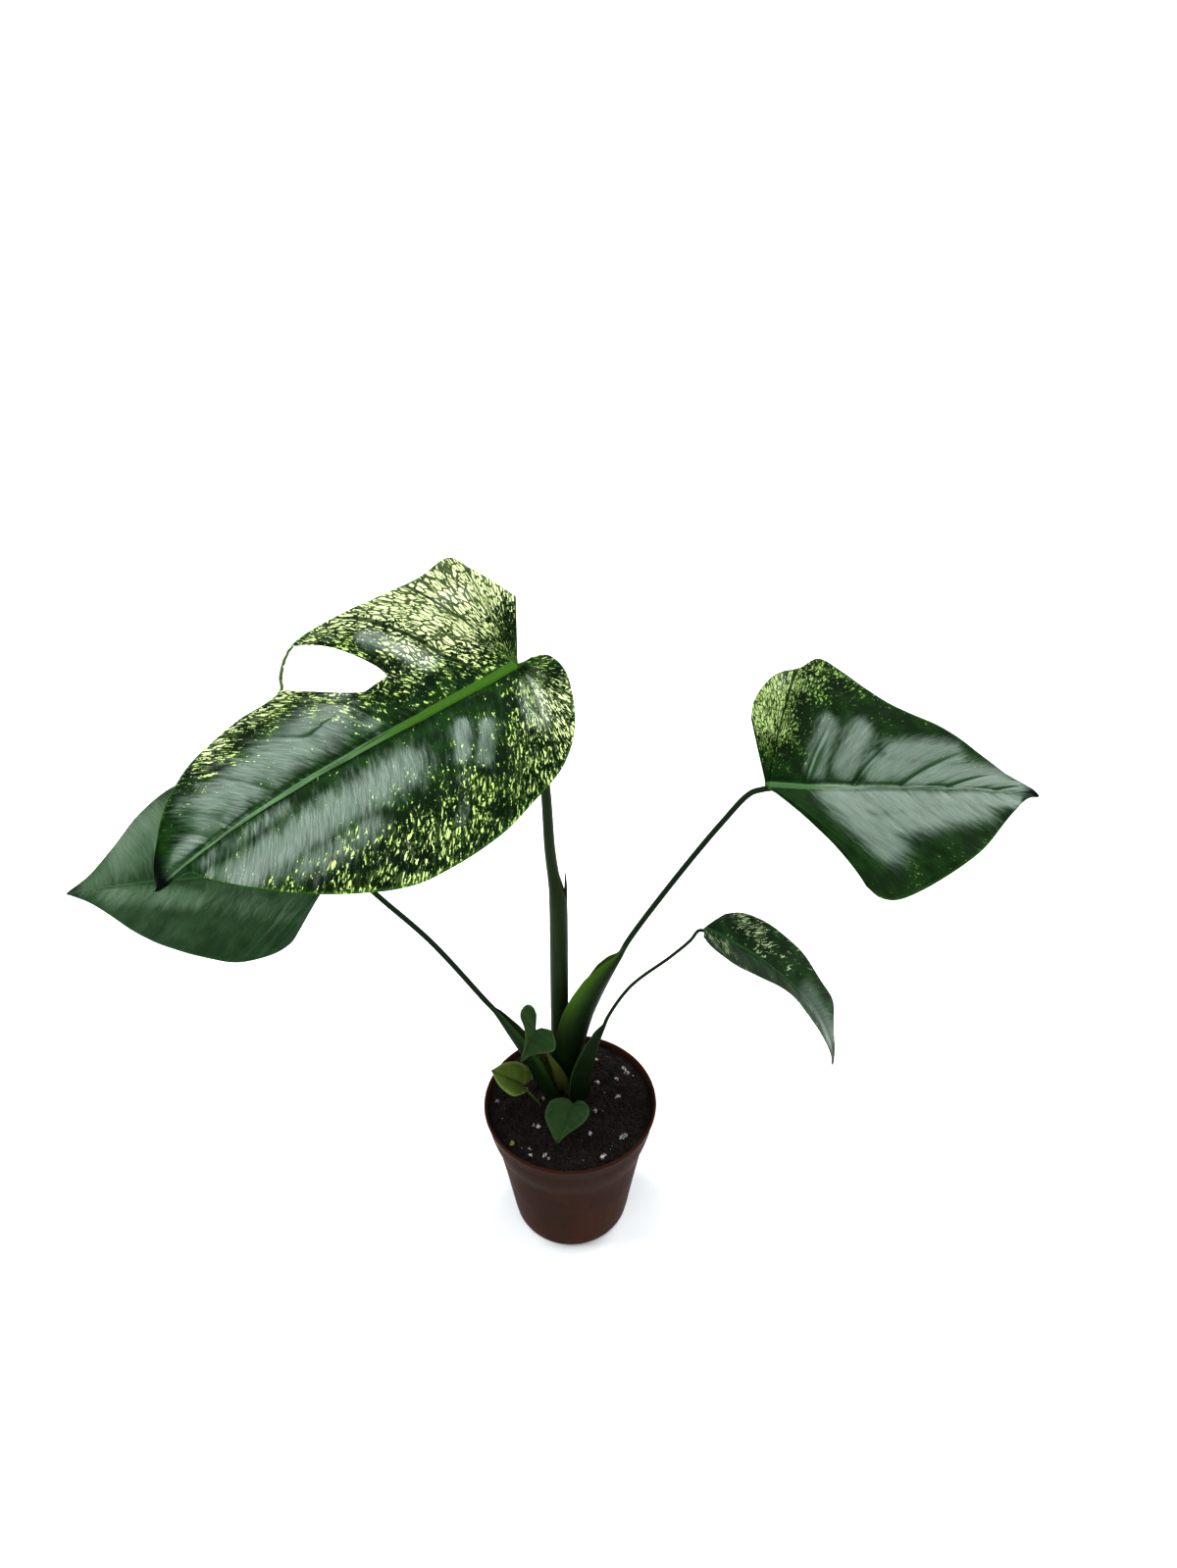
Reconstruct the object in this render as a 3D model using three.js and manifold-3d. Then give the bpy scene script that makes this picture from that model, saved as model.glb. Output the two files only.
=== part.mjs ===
// A young monstera in a round plastic nursery pot, in millimetres with +Z up.
// The origin is the middle of the pot's underside. +X is the plant's right and +Y is its back.
// Four grown leaves stand on sheathed stalks that clasp a short rootstock, and three seedling
// leaves stand at its foot. Every blade hangs on its own midrib curve: its outline is drawn flat,
// as the leaf would lie when pressed, and is then bent along the midrib and across it.
import * as THREE from "three";
import { mergeVertices } from "three/addons/utils/BufferGeometryUtils.js";
import Module from "manifold-3d";

const wasm = await Module();
wasm.setup();

// Driving dimensions
const clearance = 0.35;
const pot = {
  height: 112, rimRadius: 60, collarFoot: 84, collarRadius: 54.8, waist: 78, waistRadius: 51.6,
  baseRadius: 40.8, baseCorner: 3, wall: 1.4, lip: 2, lipHeight: 3, lipProud: 0.9, lipStep: 0.5,
  lipRound: 1, floor: 1.8, holes: 8, holeRadius: 4, holeRing: 27, sides: 32,
};
const soil = { top: 105, mound: 1.6, roughness: 0.9, rings: 5, holeFloor: 95.8, seed: 7 };
const stem = { centre: [-2, 17], halfWidth: 5.5, halfDepth: 9, foot: 62, top: 109, sides: 14 };
const bladeThickness = 0.9;
const seedlingThickness = 0.8;
const veinBow = 0.14;
const columnsPerVein = 3;

// Grown leaves. A midrib is a Bezier curve from the stalk's joint to the tip, and side points to
// the left half. Outlines run from the sinus to the tip, as x along the midrib and y across it.
const leaves = {
  large: {
    midrib: [[-26, 30, 441], [-95, 10, 409], [-166, -20, 390], [-226, -40, 341]],
    side: [0.35, -0.87, -0.3], twist: [0, 0],
    fold: { left: [4, 4], right: [8, 8] }, curl: { left: [12, 12], right: [6, 6] },
    left: [[-9, 1], [-17, 6], [-21, 20], [-18, 38], [-10, 57], [5, 73], [30, 84], [54, 92], [84, 94],
      [106, 91], [149, 69], [181, 43], [203, 18], [212, 6], [235, 0]],
    right: [[-18, -40], [-10, -59], [-3, -74], [5, -90], [24, -88], [59, -90], [95, -89], [108, -85],
      [119, -71], [123, -61], [150, -60], [168, -58], [188, -52], [212, -35], [230, -13], [235, 0]],
    hole: {
      column: 11, inner: 0.36, outer: 0.975, strip: 1.8, start: [105, -87], end: [123, -61],
      basalEdge: [[67, -29], [69, -39], [75, -54], [83, -67], [93, -78], [104, -85]],
      tipEdge: [[67, -29], [72, -26], [84, -33], [97, -42], [110, -52], [120, -59.6]],
    },
    fan: 0.33, sinusBow: { left: 0, right: 0 },
    veins: 8, quilt: 1.3, wave: 1.2, ridge: 3.2, ridgeWidth: 5.5,
    rows: { left: [0, 0.045, 0.2, 0.4, 0.6, 0.8, 0.93, 1],
      right: [0, 0.045, 0.18, 0.36, 0.5, 0.65, 0.8, 0.92, 0.975, 1] },
  },
  left: {
    midrib: [[-145, 50, 288], [-204, 42, 283], [-255, 24, 298], [-303, 10, 298]],
    side: [0, -0.94, -0.34], twist: [0, 0],
    fold: { left: [8, 8], right: [8, 8] }, curl: { left: [14, 14], right: [14, 14] },
    left: [[23, 49], [34, 57], [47, 62], [63, 63], [79, 59], [99, 51],
      [119, 38], [147, 12], [164, 0]],
    right: [[-3, -20], [4, -42], [18, -60], [38, -72], [60, -76], [82, -72], [98, -66],
      [117, -49], [134, -26], [149, -9], [164, 0]],
    fan: 0.2, sinusBow: { left: 0, right: 0 },
    veins: 7, quilt: 1.2, wave: 1, ridge: 2.2, ridgeWidth: 4,
    rows: { left: [0, 0.05, 0.25, 0.5, 0.75, 0.92, 1], right: [0, 0.05, 0.25, 0.5, 0.75, 0.92, 1] },
  },
  right: {
    midrib: [[115, 5, 375], [170, 19, 359], [232, 37, 352], [294, 45, 335]],
    side: [-0.25, 0.9, 0.33], twist: [0, 0],
    fold: { left: [16, 8], right: [4, 4] }, curl: { left: [0, 0], right: [18, 18] },
    left: [[-5, 41], [-2, 52], [8, 64], [21, 73], [40, 79], [57, 87], [73, 79],
      [101, 58], [130, 43], [160, 21], [177, 9], [188, 0]],
    right: [[47, -72], [59, -75], [85, -67], [119, -51],
      [137, -39], [163, -16], [178, -4], [188, 0]],
    fan: 0.17, sinusBow: { left: 0, right: -0.14 },
    veins: 7, quilt: 1.9, wave: 1.4, ridge: 2.2, ridgeWidth: 4,
    rows: { left: [0, 0.05, 0.25, 0.5, 0.75, 0.92, 1], right: [0, 0.05, 0.25, 0.5, 0.75, 0.92, 1] },
  },
  small: {
    midrib: [[83, -10, 280], [113, -9, 261], [171, -12, 217], [175, -15, 160]],
    side: [0, 1, 0.09], twist: [0, 30],
    fold: { left: [14, 14], right: [14, 14] }, curl: { left: [10, 10], right: [10, 10] },
    left: [[18, 16], [30, 22], [43, 25], [61, 26], [79, 24], [100, 18], [118, 17], [128, 10],
      [157, 0]],
    right: [[-4, -12], [-1, -19], [7, -22], [24, -22], [49, -17], [72, -11], [106, -11], [130, -7],
      [157, 0]],
    fan: 0.15, sinusBow: { left: 0, right: 0 },
    veins: 6, quilt: 0.6, wave: 0.7, ridge: 1.4, ridgeWidth: 2.6,
    rows: { left: [0, 0.08, 0.35, 0.7, 1], right: [0, 0.08, 0.35, 0.7, 1] },
  },
};

// Stalks, from the foot up: x, y, z of the rib, its diameter, and how far each sheath wing reaches.
// opens points out of the sheath's open side.
const stalks = {
  large: {
    opens: [1, 0.1, 0],
    line: [[-7, 30, 97, 11, 0], [-7, 30, 120, 12, 0], [-6.5, 30, 175, 12.2, 0], [-6, 30, 235, 12, 0],
      [-6, 30, 266, 11.6, 0], [-7, 30, 276, 10, 0], [-9, 30, 290, 7.6, 0], [-10.5, 30, 312, 6.8, 0],
      [-12, 30, 354, 6, 0], [-15, 30, 391, 5.6, 0], [-19, 30, 414, 5.4, 0]],
    spur: { foot: [-2.6, 30, 262], tip: [-1.8, 30, 293], radius: 2.6 },
  },
  right: {
    opens: [-0.85, 0.5, 0.3],
    line: [[1, 22, 97, 5, 12], [5, 21, 131, 5, 18], [9, 20, 153, 4.8, 22], [14, 19, 176, 4.6, 22],
      [19, 18, 193, 4.4, 20], [24, 17, 208, 4.2, 17], [29, 16, 222, 4, 11], [33, 15, 233, 3.8, 4],
      [38, 14, 247, 3.7, 0], [64, 12, 297, 3.5, 0], [91, 10, 344, 3.4, 0], [106, 8, 367, 3.4, 0]],
  },
  left: {
    opens: [0.75, 0.2, 0.6],
    line: [[-14, 10, 97, 5, 12], [-17, 11, 108, 5, 13], [-23, 14, 121, 4.8, 14],
      [-32, 17, 142, 4.4, 13], [-41, 21, 158, 4, 9], [-50, 25, 174, 3.8, 3], [-57, 28, 182, 3.7, 0],
      [-91, 35, 231, 3.6, 0], [-122, 42, 264, 3.5, 0], [-137, 47, 279, 3.5, 0]],
  },
  small: {
    opens: [-0.85, 0.45, 0.2],
    line: [[11, 9, 97, 4.5, 14], [12, 8, 112, 4.3, 15], [13, 7, 130, 4, 14.5], [16, 5, 150, 3.6, 12],
      [19, 4, 166, 3.2, 8], [22.5, 2, 181, 2.6, 2.5], [26, 0, 195, 2.3, 0], [40, -3, 225, 2.1, 0],
      [64, -7, 254, 2, 0], [75, -9, 269, 2, 0]],
  },
};
const sheathTurn = 1.75;
const wingEdge = 1;

// Seedling leaves, each with its own thin stalk from the foot up
const seedlings = {
  upright: {
    midrib: [[-22.5, 3, 178.6], [-26, 0.5, 171], [-29, -3.5, 165], [-33.5, -5, 156]],
    side: [0.9, -0.2, 0.1],
    left: [[-4, 3], [-6, 10], [-1, 15], [6, 17], [12, 11], [17, 4.5], [26, 0]],
    right: [[-11, -4], [-15, -8], [-15, -12], [-10, -14], [-5, -13], [1, -8], [8, -4], [26, 0]],
    stalk: [[-7, 14, 105], [-14, 14, 118], [-21, 13, 135], [-24, 8, 158]], stalkWidth: 1.8,
  },
  pale: {
    midrib: [[-32, 2, 125], [-37, 0.5, 132], [-47, -3, 141], [-53, -3, 147]],
    side: [0.1, -0.9, -0.35],
    left: [[-3, 3], [4, 8], [13, 12], [22, 8], [31, 0]],
    right: [[-8, -8], [-6, -12], [8, -14], [19, -10], [31, 0]],
    stalk: [[-19, 1, 99], [-21, 1, 106], [-27, 2, 115], [-31, 3, 121]], stalkWidth: 1.8,
  },
  heart: {
    midrib: [[1.7, -14, 124], [-1, -22, 119.5], [-6.5, -31, 116], [-9, -37, 111.5]],
    side: [0.95, -0.2, 0.1],
    left: [[-3, 3], [-3, 7], [2, 13], [8, 12], [19, 4], [28, 0]],
    right: [[-2, -3], [-2, -8], [1, -14], [6, -16], [14, -15], [20, -9], [28, 0]],
    stalk: [[0, -2, 98], [0, -3, 106], [0.8, -8, 116], [1.5, -11, 120]], stalkWidth: 1.8,
  },
};
const seedlingForm = {
  twist: [0, 0], fold: { left: [8, 8], right: [8, 8] }, curl: { left: [10, 10], right: [10, 10] },
  fan: 0.3, sinusBow: { left: 0, right: 0 }, veins: 3, quilt: 0, wave: 0, ridge: 0.8, ridgeWidth: 1.6,
  rows: { left: [0, 0.12, 0.6, 1], right: [0, 0.12, 0.6, 1] },
};

// Crown outline at soil level, a plain hole round all the sheaths
const crownHole = [[15.5, 9], [12, 2.5], [4, 0.6], [-6, 1], [-14, 2], [-21, 5.5], [-22.5, 14],
  [-17, 25], [-14, 33], [-7, 37.5], [1, 34], [5, 27], [12, 20], [15, 14]];

// Colours of the finishes
const finishes = {
  pot: { color: 0x5a3a30, roughness: 0.5 },
  soil: { color: 0x2a1d17, roughness: 1 },
  stem: { color: 0x3c4a24, roughness: 0.7 },
  stalk: { color: 0x274a1e, roughness: 0.45 },
  darkLeaf: { color: 0x1f4a22, roughness: 0.35 },
  paleLeaf: { color: 0x6f9040, roughness: 0.45 },
};

// Booleans
function toSolid(geometry) {
  const bare = geometry.clone();
  bare.deleteAttribute("normal");
  bare.deleteAttribute("uv");
  const merged = mergeVertices(bare, 1e-4);
  const vertProperties = new Float32Array(merged.attributes.position.array);
  const triVerts = new Uint32Array(merged.index.array);
  return new wasm.Manifold(new wasm.Mesh({ numProp: 3, vertProperties, triVerts }));
}

function toGeometry(solid) {
  const mesh = solid.getMesh();
  const geometry = new THREE.BufferGeometry();
  geometry.setAttribute("position", new THREE.BufferAttribute(new Float32Array(mesh.vertProperties), 3));
  geometry.setIndex(new THREE.BufferAttribute(new Uint32Array(mesh.triVerts), 1));
  return geometry;
}

// What is left of a solid after its neighbours are cut away, without loose scraps
function cutBy(solid, cutters) {
  let left = solid;
  for (const cutter of cutters) left = left.subtract(cutter);
  const pieces = left.decompose();
  return pieces.reduce((a, b) => (a.volume() > b.volume() ? a : b));
}

// Curves
const radians = THREE.MathUtils.degToRad;
const mix = THREE.MathUtils.lerp;
const smooth = (t) => THREE.MathUtils.smoothstep(t, 0, 1);
const vector = (p) => new THREE.Vector3(p[0], p[1], p[2] ?? 0);

function through(points) {
  return new THREE.CatmullRomCurve3(points.map(vector), false, "centripetal");
}

// How far along a curve, from 0 to 1, its nearest point to a given one lies
function nearestShare(curve, point) {
  const steps = 400;
  const target = vector(point);
  let best = 0;
  for (let i = 1; i <= steps; i++) {
    const nearer = curve.getPointAt(i / steps).distanceTo(target);
    if (nearer < curve.getPointAt(best).distanceTo(target)) best = i / steps;
  }
  return best;
}

// Bends a flat leaf along its midrib, folds it up from the midrib and curls it down to its margins
class Bend {
  constructor(leaf) {
    this.curve = new THREE.CubicBezierCurve3(...leaf.midrib.map(vector));
    this.length = this.curve.getLength();
    this.leaf = leaf;
  }

  place(x, y, height) {
    const { side, twist, fold, curl } = this.leaf;
    const t = THREE.MathUtils.clamp(x / this.length, 0, 1);
    const along = this.curve.getTangent(t);
    const point = this.curve.getPoint(t).addScaledVector(along, Math.min(x, 0));
    const across = vector(side);
    across.addScaledVector(along, -along.dot(across)).normalize();
    const turn = radians(mix(twist[0], twist[1], t));
    const upright = new THREE.Vector3().crossVectors(along, across);
    across.multiplyScalar(Math.cos(turn)).addScaledVector(upright, Math.sin(turn));
    upright.crossVectors(along, across);
    const half = y >= 0 ? "left" : "right";
    const rise = radians(mix(...fold[half], t));
    const droop = Math.max(radians(mix(...curl[half], t)) / 100, 1e-6);
    const width = Math.abs(y);
    const slope = rise - droop * width;
    const sign = Math.sign(y);
    const lateral = (Math.sin(rise) - Math.sin(slope)) / droop;
    const lift = (Math.cos(slope) - Math.cos(rise)) / droop;
    const tilt = y === 0 ? 0 : slope;
    point.addScaledVector(across, sign * (lateral - height * Math.sin(tilt)));
    return point.addScaledVector(upright, lift + height * Math.cos(tilt));
  }
}

// Columns of flat points along the lateral veins of one half, from the midrib to the margin.
// A hole splits the half in two patches that part between two veins.
function halfPatches(leaf, bend, half) {
  const columns = leaf.veins * columnsPerVein;
  const rows = leaf.rows[half];
  const outline = through([...leaf[half].slice(0, -1), [bend.length, 0]]);
  const hole = half === "right" ? leaf.hole : undefined;
  const ribStart = (i) => bend.length * Math.max(0, (i / columns - leaf.fan) / (1 - leaf.fan));

  const vein = (i, share, v) => {
    const start = new THREE.Vector3(ribStart(i), 0, 0);
    const end = outline.getPointAt(share);
    const middle = start.clone().lerp(end, 0.5);
    const bow = mix(leaf.sinusBow[half], veinBow, smooth(i / columns / (leaf.fan + 0.2)));
    middle.x -= bow * start.distanceTo(end);
    return new THREE.QuadraticBezierCurve3(start, middle, end).getPoint(v);
  };
  const column = (i, share, shift) => rows.map((v) => {
    const point = vein(i, share, v);
    if (shift) point.add(shift(v));
    return { x: point.x, y: Math.abs(point.y) < 1e-3 ? 0 : point.y, u: i / columns, v };
  });
  if (!hole) return [Array.from({ length: columns + 1 }, (_, i) => column(i, i / columns))];

  const { column: at, inner, outer } = hole;
  const patch = (edge, corner, first, last) => {
    const share = nearestShare(outline, corner);
    const rim = through(edge);
    const margin = outline.getPointAt(share);
    const rib = new THREE.Vector3(ribStart(at), 0, 0);
    const edgePoint = (v) => {
      if (v <= inner) return rib.clone().lerp(vector(edge[0]), v / inner);
      if (v >= outer) return vector(edge.at(-1)).lerp(margin, (v - outer) / (1 - outer));
      return rim.getPointAt((v - inner) / (outer - inner));
    };
    const reach = 6;
    return Array.from({ length: last - first + 1 }, (_, k) => {
      const i = first + k;
      const part = first === 0 ? (i / at) * share : share + ((i - at) / (columns - at)) * (1 - share);
      const weight = smooth(1 - Math.abs(i - at) / reach);
      return column(i, part, (v) => edgePoint(v).sub(vein(at, share, v)).multiplyScalar(weight));
    });
  };
  const basal = patch(hole.basalEdge, hole.start, 0, at);
  const apical = patch(hole.tipEdge, hole.end, at, columns);
  return [basal, apical, strip(rows, outline, hole, basal.at(-1), apical[0])];
}

// The thin strip of margin that closes the hole
function strip(rows, outline, hole, before, after) {
  const first = rows.indexOf(hole.outer);
  const steps = 5;
  const from = nearestShare(outline, hole.start);
  const to = nearestShare(outline, hole.end);
  const width = hole.strip;
  return Array.from({ length: steps + 1 }, (_, k) => {
    if (k === 0) return before.slice(first);
    if (k === steps) return after.slice(first);
    const share = mix(from, to, k / steps);
    const edge = outline.getPointAt(share);
    const inward = outline.getTangentAt(share).cross(new THREE.Vector3(0, 0, 1)).normalize();
    const inside = edge.clone().addScaledVector(inward, -width);
    const u = mix(before[0].u, after[0].u, k / steps);
    return [{ x: inside.x, y: inside.y, u, v: hole.outer }, { x: edge.x, y: edge.y, u, v: 1 }];
  });
}

// Relief of the upper face: arched between the lateral veins, waved a little at the margin.
// The arches start near the midrib and fade out before the margin.
function relief(leaf, { u, v }) {
  const [archStart, archEnd] = [0.12, 0.92];
  const [waveRate, waveShift] = [2.1, 0.6];
  const phase = u * leaf.veins;
  const fade = Math.sin(Math.PI * mix(archStart, archEnd, v));
  const wave = Math.sin(phase * waveRate + waveShift) * v ** 4;
  return leaf.quilt * Math.abs(Math.sin(Math.PI * phase)) * fade + leaf.wave * wave;
}

// A blade as one closed body. extra thickens it on both faces and spreads its outline a little,
// for cutting its neighbours.
function bladeSolid(leaf, thickness, extra = 0) {
  const bend = new Bend(leaf);
  const spreadOver = 60;
  const ridgeTaper = 0.85;
  const flat = [];
  const known = new Map();
  const indexOf = (p) => {
    const key = `${p.x.toFixed(3)},${p.y.toFixed(3)}`;
    if (!known.has(key)) known.set(key, flat.push(p) - 1);
    return known.get(key);
  };
  const faces = [];
  const addFace = (a, b, c) => {
    if (a === b || b === c || c === a) return;
    const [p, q, r] = [flat[a], flat[b], flat[c]];
    const area = (q.x - p.x) * (r.y - p.y) - (r.x - p.x) * (q.y - p.y);
    if (Math.abs(area) > 1e-6) faces.push(area > 0 ? [a, b, c] : [a, c, b]);
  };
  for (const half of ["left", "right"]) {
    for (const patch of halfPatches(leaf, bend, half)) {
      for (let i = 0; i + 1 < patch.length; i++) {
        for (let j = 0; j + 1 < patch[i].length; j++) {
          const [a, b] = [indexOf(patch[i][j]), indexOf(patch[i][j + 1])];
          const [c, d] = [indexOf(patch[i + 1][j + 1]), indexOf(patch[i + 1][j])];
          addFace(a, b, c);
          addFace(a, c, d);
        }
      }
    }
  }
  const swell = 1 + extra / spreadOver;
  const middle = bend.length / 2;
  return thicken(flat, faces, (p) => {
    const top = relief(leaf, p);
    const [x, y] = [middle + (p.x - middle) * swell, p.y * swell];
    const taper = 1 - ridgeTaper * THREE.MathUtils.clamp(p.x / bend.length, 0, 1);
    const ridge = leaf.ridge * taper * Math.max(0, 1 - Math.abs(p.y) / leaf.ridgeWidth);
    return [bend.place(x, y, top + extra), bend.place(x, y, top - thickness - ridge - extra)];
  });
}

// Closes a sheet of faces into a body: its two faces share their triangles, and its edges get walls
function thicken(flat, faces, faceHeights) {
  const positions = [];
  for (const p of flat) {
    const [upper, lower] = faceHeights(p);
    positions.push(...upper.toArray(), ...lower.toArray());
  }
  const index = [];
  const edges = new Set();
  for (const [a, b, c] of faces) {
    index.push(2 * a, 2 * b, 2 * c, 2 * a + 1, 2 * c + 1, 2 * b + 1);
    for (const edge of [[a, b], [b, c], [c, a]]) edges.add(edge.join());
  }
  for (const edge of edges) {
    const [a, b] = edge.split(",").map(Number);
    if (edges.has(`${b},${a}`)) continue;
    index.push(2 * b, 2 * a, 2 * a + 1, 2 * b, 2 * a + 1, 2 * b + 1);
  }
  const geometry = new THREE.BufferGeometry();
  geometry.setAttribute("position", new THREE.Float32BufferAttribute(positions, 3));
  geometry.setIndex(index);
  return toSolid(geometry);
}

// Skins a row of closed rings, each an outer and an inner arc, and caps both ends
function skin(rings) {
  const positions = [];
  const index = [];
  const arc = rings[0].outer.length;
  const round = 2 * arc;
  for (const { outer, inner } of rings) {
    for (const p of [...outer, ...inner.toReversed()]) positions.push(...p.toArray());
  }
  for (let k = 0; k + 1 < rings.length; k++) {
    for (let i = 0; i < round; i++) {
      const next = (i + 1) % round;
      const [a, b] = [k * round + i, k * round + next];
      index.push(a, b, b + round, a, b + round, a + round);
    }
  }
  const last = (rings.length - 1) * round;
  for (let i = 0; i + 1 < arc; i++) {
    const [a, b, c, d] = [i, i + 1, round - 2 - i, round - 1 - i];
    index.push(a, c, b, a, d, c, last + a, last + b, last + c, last + a, last + c, last + d);
  }
  const geometry = new THREE.BufferGeometry();
  geometry.setAttribute("position", new THREE.Float32BufferAttribute(positions, 3));
  geometry.setIndex(index);
  return toSolid(geometry);
}

// A stalk: round at the top, and a channel with thin wings where it is a sheath.
// extra swells it all over, for cutting its neighbours.
function stalkSolid({ line, opens }, steps, arcSteps, extra = 0) {
  const path = through(line);
  const stations = line.map((p) => ({ width: p[3], wing: p[4] }));
  const rings = [];
  for (let k = 0; k <= steps; k++) {
    const t = k / steps;
    const at = t * (line.length - 1);
    const low = Math.min(Math.floor(at), line.length - 2);
    const width = mix(stations[low].width, stations[low + 1].width, at - low) + 2 * extra;
    const wing = mix(stations[low].wing, stations[low + 1].wing, at - low);
    const along = path.getTangent(t);
    const centre = path.getPoint(t);
    if (k === 0) centre.addScaledVector(along, -extra);
    if (k === steps) centre.addScaledVector(along, extra);
    const open = vector(opens);
    open.addScaledVector(along, -along.dot(open)).normalize();
    const sideways = new THREE.Vector3().crossVectors(open, along);
    rings.push(stalkRing({ centre, open, sideways, width, wing, arcSteps, extra }));
  }
  return skin(rings);
}

function stalkRing({ centre, open, sideways, width, wing, arcSteps, extra }) {
  const sheathed = smooth(wing / width);
  const radius = Math.max(wing + extra, width / 2) / sheathTurn;
  const place = (forward, sidewards) => centre.clone()
    .addScaledVector(open, forward).addScaledVector(sideways, sidewards);
  const ring = { outer: [], inner: [] };
  for (let i = -arcSteps; i <= arcSteps; i++) {
    const share = i / arcSteps;
    const thick = mix(width, wingEdge + 2 * extra, smooth(Math.abs(share) * 1.6));
    const bearing = (share * arcSteps * Math.PI) / (2 * arcSteps + 1);
    const angle = share * sheathTurn;
    for (const [name, out] of [["outer", 1], ["inner", -1]]) {
      const reach = radius + (out * thick) / 2;
      const channel = place(radius - reach * Math.cos(angle), reach * Math.sin(angle));
      const round = place((-out * width * Math.cos(bearing)) / 2, (width * Math.sin(bearing)) / 2);
      ring[name].push(round.lerp(channel, sheathed));
    }
  }
  return ring;
}

// The stalk of a blade ends under the blade's base, where the midrib's ridge sits on it
function withJoint(stalk, leaf) {
  const bend = new Bend(leaf);
  const width = stalk.line.at(-1)[3];
  const under = { x: -1.5, depth: leaf.ridge + 2.4 };
  const seat = { x: 5, depth: 0.6 * leaf.ridge + bladeThickness };
  const ends = [under, seat].map(({ x, depth }) => [...bend.place(x, 0, -depth).toArray(), width, 0]);
  return { ...stalk, line: [...stalk.line, ...ends] };
}

// Pot: one thin wall with a collar and a lip, and drain holes round the middle of its floor
function potSolid() {
  const { height, rimRadius, collarFoot, collarRadius, waist, waistRadius, baseRadius, baseCorner } = pot;
  const { wall, lip, lipHeight, lipProud, lipRound, floor } = pot;
  const lipFoot = height - lipHeight;
  const cornerTop = floor + baseCorner;
  const profile = [
    [0, 0], [baseRadius - baseCorner, 0], [baseRadius, baseCorner], [waistRadius, waist],
    [collarRadius, collarFoot], [rimRadius - lipProud, lipFoot], [rimRadius, height - lipRound],
    [rimRadius - lipRound, height], [rimRadius - lip, height], [innerRadius(lipFoot), lipFoot],
    [innerRadius(collarFoot), collarFoot], [innerRadius(waist), waist], [innerRadius(cornerTop), cornerTop],
    [baseRadius - baseCorner, floor], [0, floor],
  ];
  const body = new THREE.LatheGeometry(profile.map((p) => new THREE.Vector2(...p)), pot.sides);
  body.rotateX(Math.PI / 2);
  const holes = Array.from({ length: pot.holes }, (_, i) => {
    const angle = (2 * Math.PI * (i + 0.5)) / pot.holes;
    const hole = new THREE.CylinderGeometry(pot.holeRadius, pot.holeRadius, 3 * floor, 10);
    hole.rotateX(Math.PI / 2);
    hole.translate(pot.holeRing * Math.cos(angle), pot.holeRing * Math.sin(angle), floor / 2);
    return toSolid(hole);
  });
  return cutBy(toSolid(body), holes);
}

// Radius of the pot's inner wall at a height
function innerRadius(z) {
  const { collarFoot, collarRadius, waist, waistRadius, baseRadius, wall } = pot;
  const lipFoot = pot.height - pot.lipHeight;
  const lipFootRadius = pot.rimRadius - pot.lipProud - pot.lipStep;
  const between = (low, lowRadius, high, highRadius) => mix(lowRadius, highRadius, (z - low) / (high - low));
  if (z > collarFoot) return between(collarFoot, collarRadius, lipFoot, lipFootRadius) - wall;
  if (z > waist) return between(waist, waistRadius, collarFoot, collarRadius) - wall;
  return between(0, baseRadius, waist, waistRadius) - wall;
}

// A smooth bumpy height over the soil, the same on every run
function soilHeight(x, y) {
  const { top, mound, roughness, seed } = soil;
  const broad = Math.sin(x * 0.21 + seed) * Math.cos(y * 0.17 + 2);
  const fine = Math.sin(x * 0.43 - y * 0.37 + seed);
  const rise = mound * (0.5 - (x * x + y * y) / innerRadius(top) ** 2);
  return top + rise + roughness * (broad + 0.6 * fine);
}

// Soil: fills the pot, with a plain hole for the crown and one for each seedling's stalk
function soilSolid(cutters) {
  const sides = pot.sides;
  const positions = [0, 0, soilHeight(0, 0)];
  const cornerTop = pot.floor + pot.baseCorner + 1;
  const wallHeights = [soil.top - 2, pot.collarFoot, pot.waist, cornerTop, pot.floor + clearance];
  const gap = 1.5 * clearance;
  for (let r = 1; r <= soil.rings; r++) {
    for (let i = 0; i < sides; i++) {
      const angle = (2 * Math.PI * i) / sides;
      const radius = ((innerRadius(soil.top) - gap) * r) / soil.rings;
      const [x, y] = [radius * Math.cos(angle), radius * Math.sin(angle)];
      positions.push(x, y, soilHeight(x, y));
    }
  }
  for (const [k, z] of wallHeights.entries()) {
    const inset = k === wallHeights.length - 1 ? pot.baseCorner : 0;
    for (let i = 0; i < sides; i++) {
      const angle = (2 * Math.PI * i) / sides;
      const radius = innerRadius(z) - gap - inset;
      positions.push(radius * Math.cos(angle), radius * Math.sin(angle), z);
    }
  }
  positions.push(0, 0, wallHeights.at(-1));
  const index = [];
  const rings = soil.rings + wallHeights.length;
  const bottom = 1 + rings * sides;
  for (let i = 0; i < sides; i++) {
    const next = (i + 1) % sides;
    index.push(0, 1 + i, 1 + next);
    for (let r = 0; r + 1 < rings; r++) {
      const [a, b] = [1 + r * sides + i, 1 + r * sides + next];
      index.push(a, a + sides, b + sides, a, b + sides, b);
    }
    const edge = 1 + (rings - 1) * sides;
    index.push(bottom, edge + next, edge + i);
  }
  const geometry = new THREE.BufferGeometry();
  geometry.setAttribute("position", new THREE.Float32BufferAttribute(positions, 3));
  geometry.setIndex(index);
  return cutBy(toSolid(geometry), [crownCutter(), ...cutters]);
}

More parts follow.
